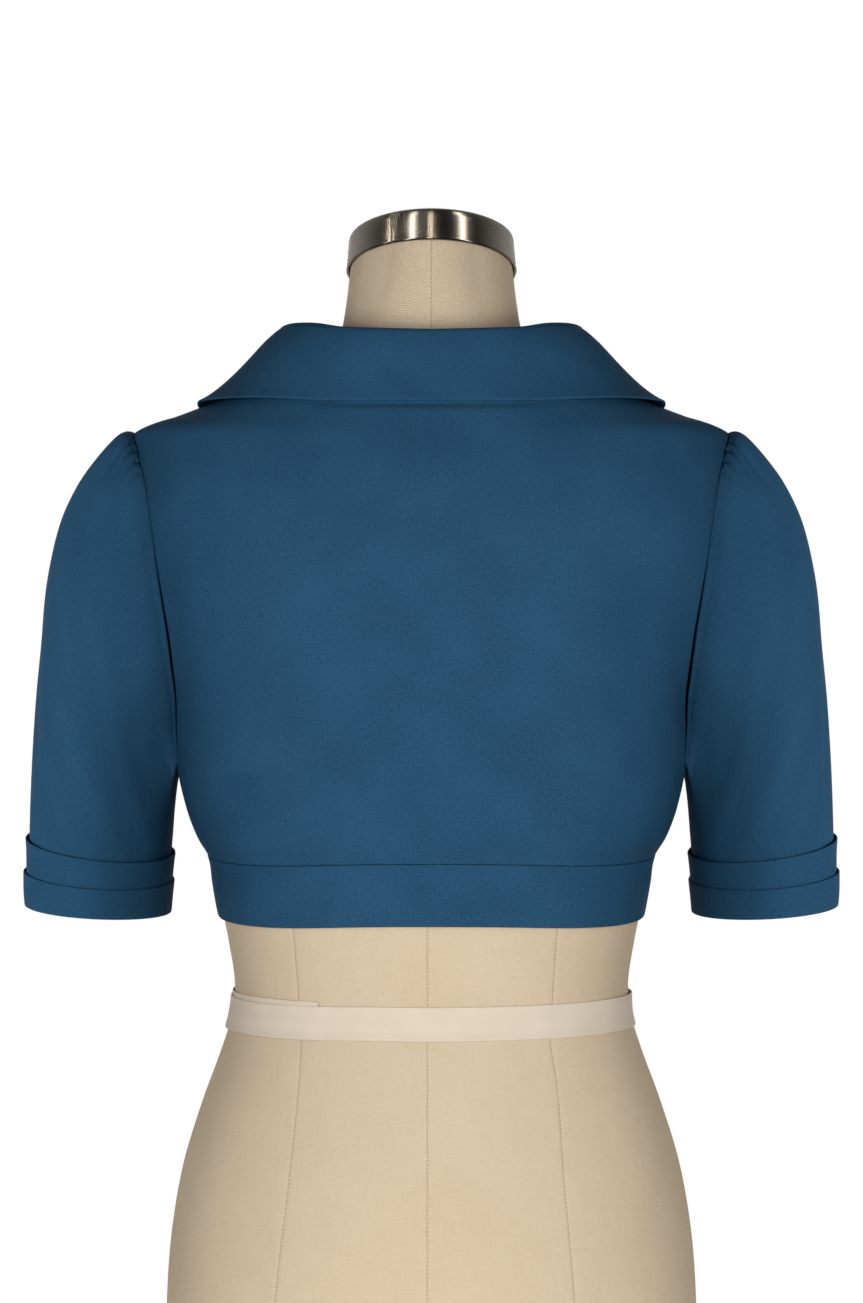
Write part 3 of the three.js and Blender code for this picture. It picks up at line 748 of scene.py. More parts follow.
@dataclass(frozen=True)
class StudioFloor:
    """A plain pale floor that fades into the white round it."""

    name: str = "studio_floor"
    colour: Colour = (0.93, 0.93, 0.93)
    solid_to: float = 0.2
    gone_at: float = 0.4
    glow: float = 0.4

    def build(self) -> bpy.types.Material:
        """A pale, faintly glowing colour with a trace of unevenness. Its alpha falls off away from the middle."""
        recipe = Recipe.for_finish(self.name)
        patches = recipe.noise(recipe.object_place(), 0.8)
        base = recipe.tint(tuple(0.97 * c for c in self.colour), self.colour, (0.5 + patches).held())
        x, y, _ = recipe.parts(recipe.object_place())
        away = (x * x + y * y) ** 0.5
        share = ((self.gone_at - away) / (self.gone_at - self.solid_to)).held()
        glow = {"Emission_Color": base, "Emission_Strength": self.glow}
        return recipe.finish(Base_Color=base, Roughness=0.9, Specular_IOR_Level=0.1, Alpha=share * share, **glow)


# The body and the jacket's own shape


@dataclass(frozen=True)
class Torso:
    """The dress form's plain surface, as smooth rings up its outline."""

    rings: Table = Table(
        "side back front half_width middle back_y front_y squareness bend",
        (
            (0, 0, 0, 157, 0, 120, -102, 2.3, 2),
            (84, 84, 84, 161, 0, 124, -104, 2.3, 2),
            (133, 133, 133, 157.4, 0, 121, -103.5, 2.3, 2),
            (170, 170, 170, 150.7, 0, 115.5, -102, 2.3, 2),
            (206, 206, 206, 139.7, 0, 107, -99, 2.25, 2),
            (243, 243, 243, 126.3, 0, 97.5, -94, 2.2, 2),
            (256, 256, 256, 122.3, 0, 93.8, -92.2, 2.2, 2),
            (273, 273, 273, 119.8, 0, 91.5, -91, 2.2, 2),
            (304, 304, 304, 123.5, 0, 92.5, -94, 2.2, 2),
            (321, 321, 321, 126.8, 0, 94.5, -97, 2.25, 2),
            (358, 358, 358, 132.5, 0, 99, -103, 2.3, 2),
            (390, 390, 390, 140.5, 0, 102.5, -108, 2.35, 2),
            (423, 423, 423, 148.6, 0, 104.5, -112, 2.4, 2),
            (451, 451, 451, 153.5, 0, 105.5, -114, 2.4, 2),
            (487, 487, 487, 166, 0, 106, -114, 2.4, 2),
            (534, 534, 532, 177.5, 0, 105, -109, 2.4, 2),
            (577, 575, 569, 180.5, 1, 99.8, -97, 2.35, 2),
            (598, 592, 582, 179.5, 2, 94.8, -90, 2.25, 2),
            (612, 604, 590, 176.4, 3, 90, -84, 2.15, 2),
            (620.5, 615.5, 595.5, 154, 4, 85.5, -78.5, 2.1, 2),
            (630, 629.5, 600.5, 128, 6, 80, -73, 2.05, 1.9),
            (639.5, 641.5, 605.5, 103, 7, 74, -68, 2, 1.8),
            (647.5, 651.5, 611, 83, 7, 68, -63, 2, 1.6),
            (656, 662.5, 619, 66, 5, 62, -58.2, 2, 1.4),
            (663, 671.5, 629, 59.5, 3.5, 57, -54.5, 2, 1.2),
            (674, 684, 650, 55.2, 1.5, 52, -52.5, 2, 1.1),
            (690, 703, 674, 52.2, -1, 47.5, -52, 2, 1),
            (709, 723.7, 695.9, 50, -5, 42.6, -53.2, 2, 1),
            (730.6, 744.2, 717, 47.8, -11, 36.5, -58.5, 2, 1),
        ),
    )
    bust_apart: float = 84
    bust_height: float = 446
    bust_rise: float = 30
    bust_across: float = 58
    bust_above: float = 62
    bust_below: float = 44

    def reaches(self) -> Array:
        """Each ring's distance up the body's outline."""
        steps = np.hypot(np.diff(self.rings["half_width"]), np.diff(self.rings["side"]))
        return np.concatenate([[0], np.cumsum(steps)])

    def reach_at(self, height: Array) -> Array:
        """The reach where the side of the body has this height."""
        reaches = np.linspace(0, self.reaches()[-1], 6001)
        return np.interp(height, self.read("side", reaches), reaches)

    def read(self, name: str, reach: Array) -> Array:
        """One of the rings' columns at a reach."""
        return self.rings.at(name, reach, self.reaches())

    def bust(self, x: Array, z: Array) -> Array:
        """The bust's rise: two bells across times one bell up, wider above than below."""
        spread = np.where(z > self.bust_height, self.bust_above, self.bust_below)
        across = sum(np.exp(-(((x - side * self.bust_apart) / self.bust_across) ** 2)) for side in (1, -1))
        return self.bust_rise * across * np.exp(-(((z - self.bust_height) / spread) ** 2))

    def point(self, reach: Array, angle: Array) -> Array:
        """A point on the form without its arm plates.

        The ring is the rounded oval (|cos a / w|^n + |sin a / d|^n)^(-1/n), with its own half width w and depth d.
        Its height goes from the side's to the back's or front's with the share of the depth, to the power bend.

        Args:
            reach: Distance up the outline.
            angle: Angle round the body, in radians.

        Returns:
            The points, in both shapes together and by 3.
        """
        reach, angle = np.broadcast_arrays(np.asarray(reach, float), np.asarray(angle, float))
        ring = {name: self.read(name, reach) for name in self.rings.names}
        c, s = np.cos(angle), np.sin(angle)
        behind = s >= 0
        depth = np.where(behind, ring["back_y"] - ring["middle"], ring["middle"] - ring["front_y"])
        n = ring["squareness"]
        radius = (np.abs(c / ring["half_width"]) ** n + np.abs(s / depth) ** n) ** (-1 / n)
        share = np.minimum(1, radius * np.abs(s) / depth)
        lift = (np.where(behind, ring["back"], ring["front"]) - ring["side"]) * share ** ring["bend"]
        x, z = radius * c, ring["side"] + lift
        bust = np.where(behind, 0, self.bust(x, z) * share)
        return np.stack([x, ring["middle"] + radius * s - bust, z], axis=-1)

    def angle_at(self, reach: Array, x: Array, behind: bool) -> Array:
        """The angle from the wearer's left side at which the form has this x, found by halving.

        Args:
            reach: Distance up the outline.
            x: Distance from the middle plane, not negative.
            behind: Whether it is on the back.

        Returns:
            The angles from 0 to a quarter turn, in radians.
        """
        low, high = np.zeros(np.shape(reach)), np.full(np.shape(reach), math.pi / 2)
        for _ in range(30):
            middle = (low + high) / 2
            far = self.point(reach, middle if behind else -middle)[..., 0] > x
            low, high = np.where(far, middle, low), np.where(far, high, middle)
        return (low + high) / 2

    def normal(self, reach: Array, angle: Array) -> Array:
        """The outward normal: a small step round the body crossed with a small step up it.

        Args:
            reach: Distance up the outline.
            angle: Angle round the body, in radians.

        Returns:
            The unit normals.
        """
        up, turn = 0.5, 0.004
        along = self.point(reach + up, angle) - self.point(reach - up, angle)
        across = self.point(reach, angle + turn) - self.point(reach, angle - turn)
        return unit(np.cross(across, along))


@dataclass(frozen=True)
class JacketBlock:
    """The jacket's body shape over the torso, with its seams' places."""

    torso: Torso = Torso()
    hem: float = 321
    band_top: float = 357.8
    underarm: float = 409
    shoulder_tip: float = 612
    neck_seam: float = 647.5
    back_sag: float = 1.6
    corner_sag: float = 4.6
    tip: tuple[float, float] = (177.5, 611.5)
    tip_rise: float = 1.6
    tip_spread: float = 6.5
    line_at: tuple[float, float] = (176.9, 612.8)
    line_slope: float = 0.38
    line_from: float = 132
    line_blend: float = 14
    line_softness: float = 0.6
    opening_half: float = 9
    room: Table = Table(
        "side at_side at_back at_front",
        (
            (321, 1.3, 2.2, 2.6),
            (340, 1.9, 2.5, 2.8),
            (358, 2.5, 3, 3.2),
            (366, 5.4, 5, 5),
            (378, 7.5, 6, 7),
            (392, 8.2, 7, 8),
            (406, 7.8, 7, 8),
            (423, 5.6, 6, 7),
            (460, 3.4, 5, 5.5),
            (520, 3, 3.4, 4),
            (577, 2, 2.2, 3),
            (600, 1.5, 1.7, 2),
            (612, 1.2, 1.3, 1.5),
            (700, 1.1, 1.2, 1.2),
        ),
    )
    front_edge: Table = Table(
        "side x",
        (
            (350, 9),
            (358, 10),
            (375, 15),
            (400, 22),
            (440, 33),
            (480, 43),
            (520, 53),
            (560, 63),
            (590, 70.5),
            (612, 75),
            (630, 78.5),
            (640, 81),
            (647.5, 82.6),
        ),
    )
    armhole: Table = Table(
        "turn back front",
        (
            (0, 0, 0),
            (15, 5, 6),
            (30, 9.6, 11),
            (45, 14.4, 16),
            (60, 17.3, 19),
            (75, 18.9, 21),
            (90, 19.3, 21.5),
            (105, 18.2, 20.5),
            (120, 14.9, 18),
            (135, 11.7, 15),
            (150, 10.2, 12.5),
            (165, 8.2, 9.4),
            (180, 0, 0),
        ),
    )

    def cloth(self, reach: Array, angle: Array, lift: float | Array) -> Array:
        """A point of the body's cloth: the form's point, moved out by the room there and the lift.

        The room goes from the side's to the back's or front's with sin^2 of the angle. Round the shoulder tip the
        cloth rises by tip_rise exp(-(distance / tip_spread)^2), because the sleeve's gathers push it up there.

        Args:
            reach: Distance up the outline.
            angle: Angle round the body.
            lift: Distance off the cloth's inside face.

        Returns:
            The points.
        """
        side = self.torso.read("side", np.asarray(reach, float))
        s = np.sin(angle)
        far = np.where(s >= 0, self.room.at("at_back", side), self.room.at("at_front", side))
        room = self.room.at("at_side", side) * (1 - s * s) + far * s * s
        points = self.torso.point(reach, angle)
        away = np.hypot(np.abs(points[..., 0]) - self.tip[0], points[..., 2] - self.tip[1]) / self.tip_spread
        out = room + lift + self.tip_rise * np.exp(-(away**2))
        return self.under_line(points + self.torso.normal(reach, angle) * out[..., None], lift)

    def under_line(self, points: Array, lift: float | Array) -> Array:
        """Holds the shoulder's cloth under the straight line from the collar to the armhole, with a soft limit.

        The height is limited to p - s log(1 + exp((p - z) / s)), with the softness s and the line's height p there.

        Args:
            points: Points of the cloth.
            lift: Their distance off the cloth's inside face.

        Returns:
            The points with their heights held.
        """
        x, z, soft = np.abs(points[..., 0]), points[..., 2], self.line_softness
        line = self.line_at[1] + self.line_slope * (self.line_at[0] - x) + lift * math.hypot(1, self.line_slope)
        held = line - soft * np.logaddexp(0, (line - z) / soft)
        share = smoothstep(x, self.line_from, self.line_from + self.line_blend)
        return np.stack([points[..., 0], points[..., 1], z + (held - z) * share], axis=-1)

    def hanging_reach(self, height: Array, angle: Array) -> Array:
        """The reach of a height near the hem, where the cloth hangs lower off the side seams.

        The sag is back_sag |sin| + 2 corner_sag |sin| |cos|^3, faded out between the band and the underarm.
        """
        fade = smoothstep(self.underarm - height, 0, self.underarm - self.band_top)
        c, s = np.abs(np.cos(angle)), np.abs(np.sin(angle))
        return self.torso.reach_at(height - (self.back_sag * s + self.corner_sag * 2 * s * c**3) * fade)

    def hanging(self, height: Array, angle: Array, lift: float) -> Array:
        """A point of the body's cloth by height on the side."""
        return self.cloth(self.hanging_reach(height, angle), angle, lift)

    def front_angle(self, reach: Array, x: Array) -> Array:
        """The angle at which the wearer's left front has this x, found by halving.

        Args:
            reach: Distance up the outline.
            x: Distance from the centre front.

        Returns:
            The angles, in radians.
        """
        low, high = np.full(np.shape(reach), -math.pi / 2), np.zeros(np.shape(reach))
        for _ in range(40):
            middle = (low + high) / 2
            short = self.cloth(reach, middle, 0)[..., 0] < x
            low, high = np.where(short, middle, low), np.where(short, high, middle)
        return (low + high) / 2

    def armhole_height(self, turn: Array) -> Array:
        """The height at a turn round the armhole: 0 is the shoulder tip and half a turn the underarm."""
        middle, half = (self.shoulder_tip + self.underarm) / 2, (self.shoulder_tip - self.underarm) / 2
        return middle + half * np.cos(turn)

    def armhole_angle(self, height: Array, behind: bool) -> Array:
        """The armhole seam's angle at a height, 0 above the shoulder tip and below the underarm."""
        half = (self.shoulder_tip - self.underarm) / 2
        turn = np.degrees(np.arccos(np.clip((height - self.underarm - half) / half, -1, 1)))
        angle = np.radians(self.armhole.at("back" if behind else "front", turn))
        return angle if behind else -angle


def stand_for(piece: bpy.types.Object, node: str, finish: bpy.types.Material) -> None:
    """Gives a piece its finish, puts it in its solid's place and logs it.

    Args:
        piece: The finished mesh.
        node: The solid that it stands for.
        finish: Its material.
    """
    piece.data.materials.append(finish)
    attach(piece, "root")
    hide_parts(node)
    LOG.info("%s: %d faces", piece.name, len(piece.data.polygons))


@dataclass
class Dressing:
    """What every cloth piece needs: the shared shape, the finish and a slot name."""

    block: JacketBlock
    finish: bpy.types.Material
    slot: str = "cloth"

    def hand_over(
        self,
        piece: bpy.types.Object,
        node: str,
        flat: tuple[float, float],
        area: float,
        held: str,
        on: Sequence[str],
    ) -> None:
        """Puts a finished piece in place of its solid and gives it the finish, through stand_for."""
        stand_for(piece, node, self.finish)


def mirrored(points: Array) -> Array:
    """The same points on the wearer's other side."""
    return points * np.array([-1.0, 1.0, 1.0])


# The jacket


@dataclass
class BodyPanels:
    """The back and the two fronts, from the band to the shoulder and neck seams."""

    dressing: Dressing
    thickness: float = 1.5
    seam_gap: float = 0.08
    allowance: float = 1.0
    back_columns: int = 132
    front_columns: int = 84
    mean_width: float = 260.0
    drape: float = 0.45
    drape_from_band: float = 14.0
    pucker: float = 0.16
    pucker_reach: float = 7.0
    back_creases: tuple[Crease, ...] = (
        Crease((66, 626.6), (-66, 626.6), 2.6, -2.2),
        Crease((158, 545), (150, 440), 11, -1.6),
        Crease((-157, 540), (-149, 436), 12, -1.8),
        Crease((140, 418), (118, 372), 13, 1.1),
        Crease((-141, 420), (-116, 370), 12, 1.2),
        Crease((96, 470), (30, 492), 34, -0.9),
        Crease((-100, 462), (-28, 486), 36, -0.8),
        Crease((120, 590), (60, 560), 26, 0.8),
        Crease((-118, 588), (-64, 556), 27, 0.8),
    )
    front_creases: tuple[Crease, ...] = (
        Crease((150, 540), (136, 462), 11, -1.7),
        Crease((140, 420), (104, 452), 9, 1.3),
        Crease((128, 405), (92, 432), 8, -1.0),
        Crease((104, 372), (92, 420), 10, 1.0),
        Crease((140, 585), (112, 530), 14, -0.9),
    )

    def heights(self, top: float) -> Array:
        """Side heights of the rows: the side seam, the armhole by even turns, then the shoulder.

        Args:
            top: The height of the neck seam.

        Returns:
            The rising heights.
        """
        block = self.dressing.block
        start = block.band_top + self.seam_gap
        near = start + np.array([0, 0.2, 0.5, 0.9, 1.5, 2.5])
        sides = np.linspace(start + 4, block.underarm - 1.5, 22)
        armhole = block.armhole_height(np.linspace(math.pi, 0, 96))
        shoulder = np.linspace(block.shoulder_tip, top, 34)[1:]
        return np.concatenate([near, sides, armhole, shoulder])

    def panel(self, heights: Array, start: Array, stop: Array, columns: int, creases: Sequence[Crease]) -> Cloth:
        """A panel between two angles in each row.

        Args:
            heights: The rows' side heights.
            start: The first column's angle in each row.
            stop: The last column's angle in each row.
            columns: How many even steps across.
            creases: The panel's folds.

        Returns:
            The cloth with its edges sewn.
        """
        block = self.dressing.block
        across = shares(columns, self.mean_width)
        angle = start[:, None] + (stop - start)[:, None] * across
        reach = block.hanging_reach(heights[:, None] + np.zeros_like(angle), angle)
        inside = block.cloth(reach, angle, 0)
        normal = block.torso.normal(reach, angle)
        rise = uneven(inside, self.drape) + sum(crease.rise(inside) for crease in creases)
        edge_gap = path_distance(inside, inside[0])
        rise = rise * smoothstep(edge_gap, 0, self.drape_from_band)
        near_band = np.exp(-((edge_gap / self.pucker_reach) ** 2))
        ripple = self.pucker * wavy(arc_lengths(inside, 1), PUCKER_WAVES) * near_band
        inside = inside + normal * (rise + ripple)[..., None]
        return Cloth(inside, inside + normal * self.thickness, radius=0.9, seam_share=0.5)

    def edge_angle(self, heights: Array, behind: bool) -> Array:
        """The panel's edge as an angle: a gap off the side and shoulder seams, and an allowance into the armhole.

        Args:
            heights: The rows' side heights.
            behind: Whether it is the back panel.

        Returns:
            The angles, positive on the back.
        """
        block = self.dressing.block
        hole = np.abs(block.armhole_angle(heights, behind))
        held = smoothstep(hole, 0, math.radians(5))
        move = self.seam_gap * (1 - held) - self.allowance * held
        angle = hole + move / block.torso.read("half_width", block.torso.reach_at(heights))
        return angle if behind else -angle

    def back(self) -> None:
        """Builds the back panel."""
        block = self.dressing.block
        heights = self.heights(block.neck_seam)
        edge = self.edge_angle(heights, True)
        cloth = self.panel(heights, edge, math.pi - edge, self.back_columns, self.back_creases)
        self.dressing.hand_over(cloth.build("jacket_back"), "back", (0.44, 0.34), 0.125, "draped", ["form_body"])

    def front(self, name: str, side: int) -> None:
        """Builds one front panel.

        Args:
            name: The side's name.
            side: 1 for the wearer's left or -1 for the right.
        """
        block = self.dressing.block
        heights = self.heights(block.neck_seam - 1)
        reach = block.torso.reach_at(heights)
        start = self.edge_angle(heights, False)
        stop = block.front_angle(reach, block.front_edge.at("x", heights))
        cloth = self.panel(heights, start, stop, self.front_columns, self.front_creases)
        if side < 0:
            cloth.inside, cloth.outside = mirrored(cloth.inside), mirrored(cloth.outside)
        piece = cloth.build(f"jacket_front_{name}")
        self.dressing.hand_over(piece, f"front_{name}", (0.24, 0.34), 0.051, "draped", ["form_body"])

    def build(self) -> None:
        """Builds all three panels."""
        self.back()
        self.front("left", 1)
        self.front("right", -1)


@dataclass
class HemBand:
    """The band round the jacket's waist end, folded at its lower edge and sewn on at its upper one."""

    dressing: Dressing
    thickness: float = 1.9
    columns: int = 420
    rows: int = 18
    length: float = 800.0
    pucker: float = 0.2
    pucker_reach: float = 6.0
    drape: float = 0.25
    drape_from_seam: float = 12.0

    def build(self) -> None:
        """Builds the band from the wearer's left front edge round the back to the right one."""
        block = self.dressing.block
        up = shares(self.rows, block.band_top - block.hem)
        heights = block.hem + (block.band_top - block.hem) * up
        edge = block.front_angle(block.torso.reach_at(heights), np.full(len(heights), block.opening_half))
        angle = edge[:, None] + (math.pi - 2 * edge)[:, None] * shares(self.columns, self.length)
        reach = block.hanging_reach(heights[:, None] + np.zeros_like(angle), angle)
        inside = block.cloth(reach, angle, 0)
        normal = block.torso.normal(reach, angle)
        below = path_distance(inside, inside[-1])
        run = arc_lengths(inside, 1)
        ripple = self.pucker * wavy(run, PUCKER_WAVES) * np.exp(-((below / self.pucker_reach) ** 2))
        soft = self.drape * wavy(run + 0.8 * inside[..., 2], DRAPE_WAVES) * smoothstep(below, 0, self.drape_from_seam)
        inside = inside + normal * (ripple + soft)[..., None]
        edges = {"bottom": Edge.FOLD, "top": Edge.SEAM, "first": Edge.FOLD, "last": Edge.FOLD}
        cloth = Cloth(inside, inside + normal * self.thickness, edges=edges, radius=1.4, seam_share=0.75)
        piece = cloth.build("jacket_hem_band")
        self.dressing.hand_over(piece, "hem_band", (0.72, 0.038), 0.0272, "stretched", ["form_body"])


@dataclass(frozen=True)
class Gather:
    """A fold that starts in a seam and fades along a path of x and z in the view from behind."""

    path: tuple[tuple[float, float], ...]
    width: float
    spread: float
    depth: float

    def rise(self, points: Array) -> Array:
        """The fold's height: depth * (1 - t)^1.2 * exp(-(distance / (width + spread t))^2), t along the path.

        Args:
            points: Rows by columns by 3.

        Returns:
            The rise along the normal, rows by columns.
        """
        path = np.array(self.path)
        legs = np.diff(path, axis=0)
        lengths = np.linalg.norm(legs, axis=-1)
        before = np.concatenate([[0], np.cumsum(lengths)[:-1]]) / lengths.sum()
        away = points[..., None, [0, 2]] - path[:-1]
        share = np.clip((away * legs).sum(axis=-1) / lengths**2, 0, 1)
        gap = np.linalg.norm(away - share[..., None] * legs, axis=-1)
        nearest = gap.argmin(axis=-1)[..., None]
        gap = np.take_along_axis(gap, nearest, axis=-1)[..., 0]
        t = np.take_along_axis(before + share * lengths / lengths.sum(), nearest, axis=-1)[..., 0]
        return self.depth * (1 - t) ** 1.2 * np.exp(-((gap / (self.width + self.spread * t)) ** 2))


@dataclass
class Sleeve:
    """One short sleeve with its gathered head, down to where the cuff is folded up over it."""

    dressing: Dressing
    thickness: float = 1.2
    sections: Table = Table(
        "row inner_x inner_z outer_x outer_z back_y front_y armhole",
        (
            (0, 155.5, 409, 179, 613.7, 60, -62, 1),
            (1, 156.6, 407.2, 184.2, 614.9, 60, -62, 0.92),
            (2, 156.7, 405, 191.5, 611, 60, -63, 0.82),
            (3, 156.8, 402, 204.3, 597, 58.5, -64, 0.68),
            (4, 156.9, 398.5, 215.6, 581.2, 56, -65, 0.54),
            (5, 157, 394.5, 225, 561.5, 53.5, -65.5, 0.42),
            (6, 157.2, 390, 231.7, 536, 50.5, -65.8, 0.3),
            (7, 157.5, 384.5, 237, 505, 47, -65.5, 0.18),
            (8, 157.9, 377.5, 241.3, 462, 43.5, -64.8, 0.08),
            (9, 158.4, 369, 244.6, 412, 40, -63.5, 0),
            (10, 159.3, 359, 246.1, 374, 38, -62.5, 0),
            (11, 160.1, 345.5, 246.2, 352, 37.2, -62, 0),
        ),
    )
    taken_in: float = 0.1
    outward: float = 0.1
    middle_y: float = -8
    columns: int = 380
    behind: tuple[Gather, ...] = (
        Gather(((176, 610.5), (183, 604.7), (188.4, 599), (199, 586), (213, 563)), 0.8, 4.0, -3.8),
        Gather(((175, 603.6), (180.4, 600.7), (188.4, 592.1), (199, 576)), 0.7, 3.0, -3.6),
        Gather(((173.6, 605.6), (179, 604.2)), 0.6, 0.8, -1.6),
        Gather(((173.2, 596), (177.7, 594), (182.1, 589.6), (186, 581)), 0.7, 2.2, -3.0),
        Gather(((172, 588.5), (177.6, 585), (181, 577)), 0.8, 2.4, -1.8),
        Gather(((175.5, 607), (184, 601.5), (193, 590), (203, 574)), 1.3, 3.4, 1.9),
        Gather(((174, 599.5), (181, 596.5), (188, 587)), 1.3, 2.2, 1.8),
        Gather(((173, 592.5), (179, 589.5), (184, 580)), 1.3, 2.0, 1.0),
        Gather(((174, 613), (186, 606), (204, 586), (219, 558)), 1.6, 4.0, 0.8),
    )
    before: tuple[Gather, ...] = (
        Gather(((175.5, 609.5), (184, 602), (193, 589), (207, 566)), 1.2, 5.5, -1.7),
        Gather(((174, 601), (181, 596.5), (190, 583)), 1.1, 4.0, -1.4),
        Gather(((172, 592), (178, 587.5), (184, 577)), 1.2, 3.5, -1.2),
        Gather(((170, 581), (176, 576), (180, 567)), 1.4, 3.0, -0.6),
        Gather(((175, 605.5), (185, 597), (196, 580)), 1.6, 4.5, 0.8),
    )
    creases: tuple[Crease, ...] = (
        Crease((238.5, 545), (239.5, 352), 2.6, -1.1),
        Crease((229, 560), (233, 380), 9, 0.8),
        Crease((196, 500), (176, 392), 15, -0.9),
        Crease((214, 470), (220, 372), 16, 0.7),
    )

    def seam_ring(self, turn: Array) -> Array:
        """The sleeve's end at the armhole: the panels' edge, taken in towards its centre and set outward."""
        block = self.dressing.block
        height = block.armhole_height(turn)
        angle = np.where(np.sin(turn) >= 0, block.armhole_angle(height, True), block.armhole_angle(height, False))
        ring = block.cloth(block.torso.reach_at(height), angle, self.thickness)
        inward = unit(ring.mean(axis=0) - ring)
        return ring + inward * self.taken_in + np.array([self.outward, 0, 0])

    def oval(self, row: Array, turn: Array) -> Array:
        """A point on an oval section: its middle plus its half axes times cos and sin of the turn."""
        read = {name: self.sections.at(name, row) for name in self.sections.names}
        c, s = np.cos(turn), np.sin(turn)
        return np.stack(
            [
                (read["outer_x"] + read["inner_x"]) / 2 + (read["outer_x"] - read["inner_x"]) / 2 * c,
                (read["back_y"] + read["front_y"]) / 2 + (read["back_y"] - read["front_y"]) / 2 * s,
                (read["outer_z"] + read["inner_z"]) / 2 + (read["outer_z"] - read["inner_z"]) / 2 * c,
            ],
            axis=-1,
        )

    def grid(self) -> tuple[Array, Array]:
        """The sleeve's outside, from the armhole to the cuff: ovals that take on the armhole's own bend.

        Returns:
            The points, rows by columns by 3, and the turns of the columns.
        """
        even = np.linspace(-math.pi, math.pi, self.columns, endpoint=False)
        turn = even - 0.72 * np.sin(even)
        rows = np.concatenate([[0, 0.12, 0.3, 0.6], np.linspace(1, 4.5, 52)[:-1], np.linspace(4.5, 11, 44)])
        bend = self.seam_ring(turn) - self.oval(np.zeros_like(turn), turn)
        take = self.sections.at("armhole", rows)
        row, around = np.meshgrid(rows, turn, indexing="ij")
        return self.oval(row, around) + take[:, None, None] * bend, turn

    def build(self, name: str, side: int, unevenness: float) -> None:
        """Builds one sleeve.

        Args:
            name: The side's name.
            side: 1 for the wearer's left or -1 for the right.
            unevenness: A share by which the depth of this sleeve's gathers differs.
        """
        points, turn = self.grid()
        normal = grid_normals(points, ring=True)
        if (normal[:, :, 0] * (points[:, :, 0] - points[:, :, 0].mean(axis=1, keepdims=True))).mean() < 0:
            normal = -normal
        run = arc_lengths(points, 0)
        back = smoothstep(points[..., 1], self.middle_y - 12, self.middle_y + 12)
        gathers = back * sum(gather.rise(points) for gather in self.behind)
        gathers = gathers + (1 - back) * sum(gather.rise(points) for gather in self.before)
        folds = sum(crease.rise(points) for crease in self.creases) * smoothstep(run, 10, 40)
        around = np.degrees(turn) + np.zeros_like(run)
        underarm = -0.5 * np.exp(-(((180 - np.abs(around)) / 1.4) ** 2))
        own = 1 + unevenness * wavy(points[..., 2] + 9, DRAPE_WAVES)
        rise = gathers * own * smoothstep(run, 0, 1.5) + folds + underarm + uneven(points, 0.5) * smoothstep(run, 5, 50)
        outside = points + normal * rise[..., None]
        inside = outside - normal * self.thickness
        if side < 0:
            outside, inside = mirrored(outside), mirrored(inside)
        edges = {"bottom": Edge.SEAM, "top": Edge.OPEN}
        cloth = Cloth(inside, outside, ring=True, edges=edges, radius=1.0, seam_share=0.15)
        piece = cloth.build(f"jacket_sleeve_{name}")
        self.dressing.hand_over(piece, f"sleeve_{name}", (0.36, 0.25), 0.066, "gathered", [f"front_{name}", "back"])


@dataclass
class Cuff:
    """One fold of a turned-up cuff, as a ring round the sleeve's end."""

    dressing: Dressing
    name: str
    rows: Table
    flat: tuple[float, float]
    thickness: float = 1.1
    centre: tuple[float, float] = (203.2, -12.4)
    half: tuple[float, float] = (43.3, 49.6)
    columns: int = 200
    steps: int = 16

    def face(self, t: Array, turn: Array, out: float) -> Array:
        """A point on the fold's face.

        The ring's height is mean + outer cos + back sin, and its half axes grow with the spread.

        Args:
            t: Share of the way up.
            turn: Turn round the sleeve, 0 at its outer side.
            out: Distance off the inside face.

        Returns:
            The points.
        """
        read = {name: self.rows.at(name, t) for name in self.rows.names}
        c, s = np.cos(turn), np.sin(turn)
        return np.stack(
            [
                self.centre[0] + read["shift"] + (self.half[0] + read["spread"] + out) * c,
                self.centre[1] + (self.half[1] + read["spread"] + out) * s,
                read["mean"] + read["outer"] * c + read["back"] * s,
            ],
            axis=-1,
        )

    def build(self, side_name: str, side: int) -> None:
        """Builds the fold on one sleeve.

        Args:
            side_name: The side's name.
            side: 1 for the wearer's left or -1 for the right.
        """
        t, turn = np.meshgrid(
            shares(self.steps, 22.0, (0.2, 0.5, 0.9)),
            np.linspace(-math.pi, math.pi, self.columns, endpoint=False),
            indexing="ij",
        )
        inside, outside = self.face(t, turn, 0), self.face(t, turn, self.thickness)
        sway = 0.22 * wavy(turn * 45, DRAPE_WAVES) * t
        outward = unit(outside - inside)
        inside, outside = inside + outward * sway[..., None], outside + outward * sway[..., None]
        if side < 0:
            inside, outside = mirrored(inside), mirrored(outside)
        edges = {"bottom": Edge.FOLD, "top": Edge.FOLD}
        piece = Cloth(inside, outside, ring=True, edges=edges, radius=0.9).build(f"jacket_{self.name}_{side_name}")
        on = [f"sleeve_{side_name}"]
        area = self.flat[0] * self.flat[1]
        self.dressing.hand_over(piece, f"{self.name}_{side_name}", self.flat, area, "folded", on)


def upper_cuff(dressing: Dressing) -> Cuff:
    """The upper fold, from under the lower one up to its own edge."""
    rows = Table(
        "t mean outer back spread shift",
        ((0, 338.4, 3.4, -5.8, 0.1, 0.5), (0.7, 355.8, 5.4, -7, 0.85, -0.1), (1, 361.8, 5.4, -7, 1.45, -0.3)),
    )
    return Cuff(dressing, "cuff_upper", rows, (0.3, 0.026))


def lower_cuff(dressing: Dressing) -> Cuff:
    """The lower fold, from the sleeve's mouth up to its edge over the upper fold."""
    rows = Table(
        "t mean outer back spread shift",
        ((0, 322.8, 2.6, -3.4, 0.5, 1.2), (0.43, 331.6, 1.9, -3.4, 1.2, 1.1), (1, 343.4, 3.4, -5.8, 1.8, 0.6)),
    )
    return Cuff(dressing, "cuff_lower", rows, (0.305, 0.024))


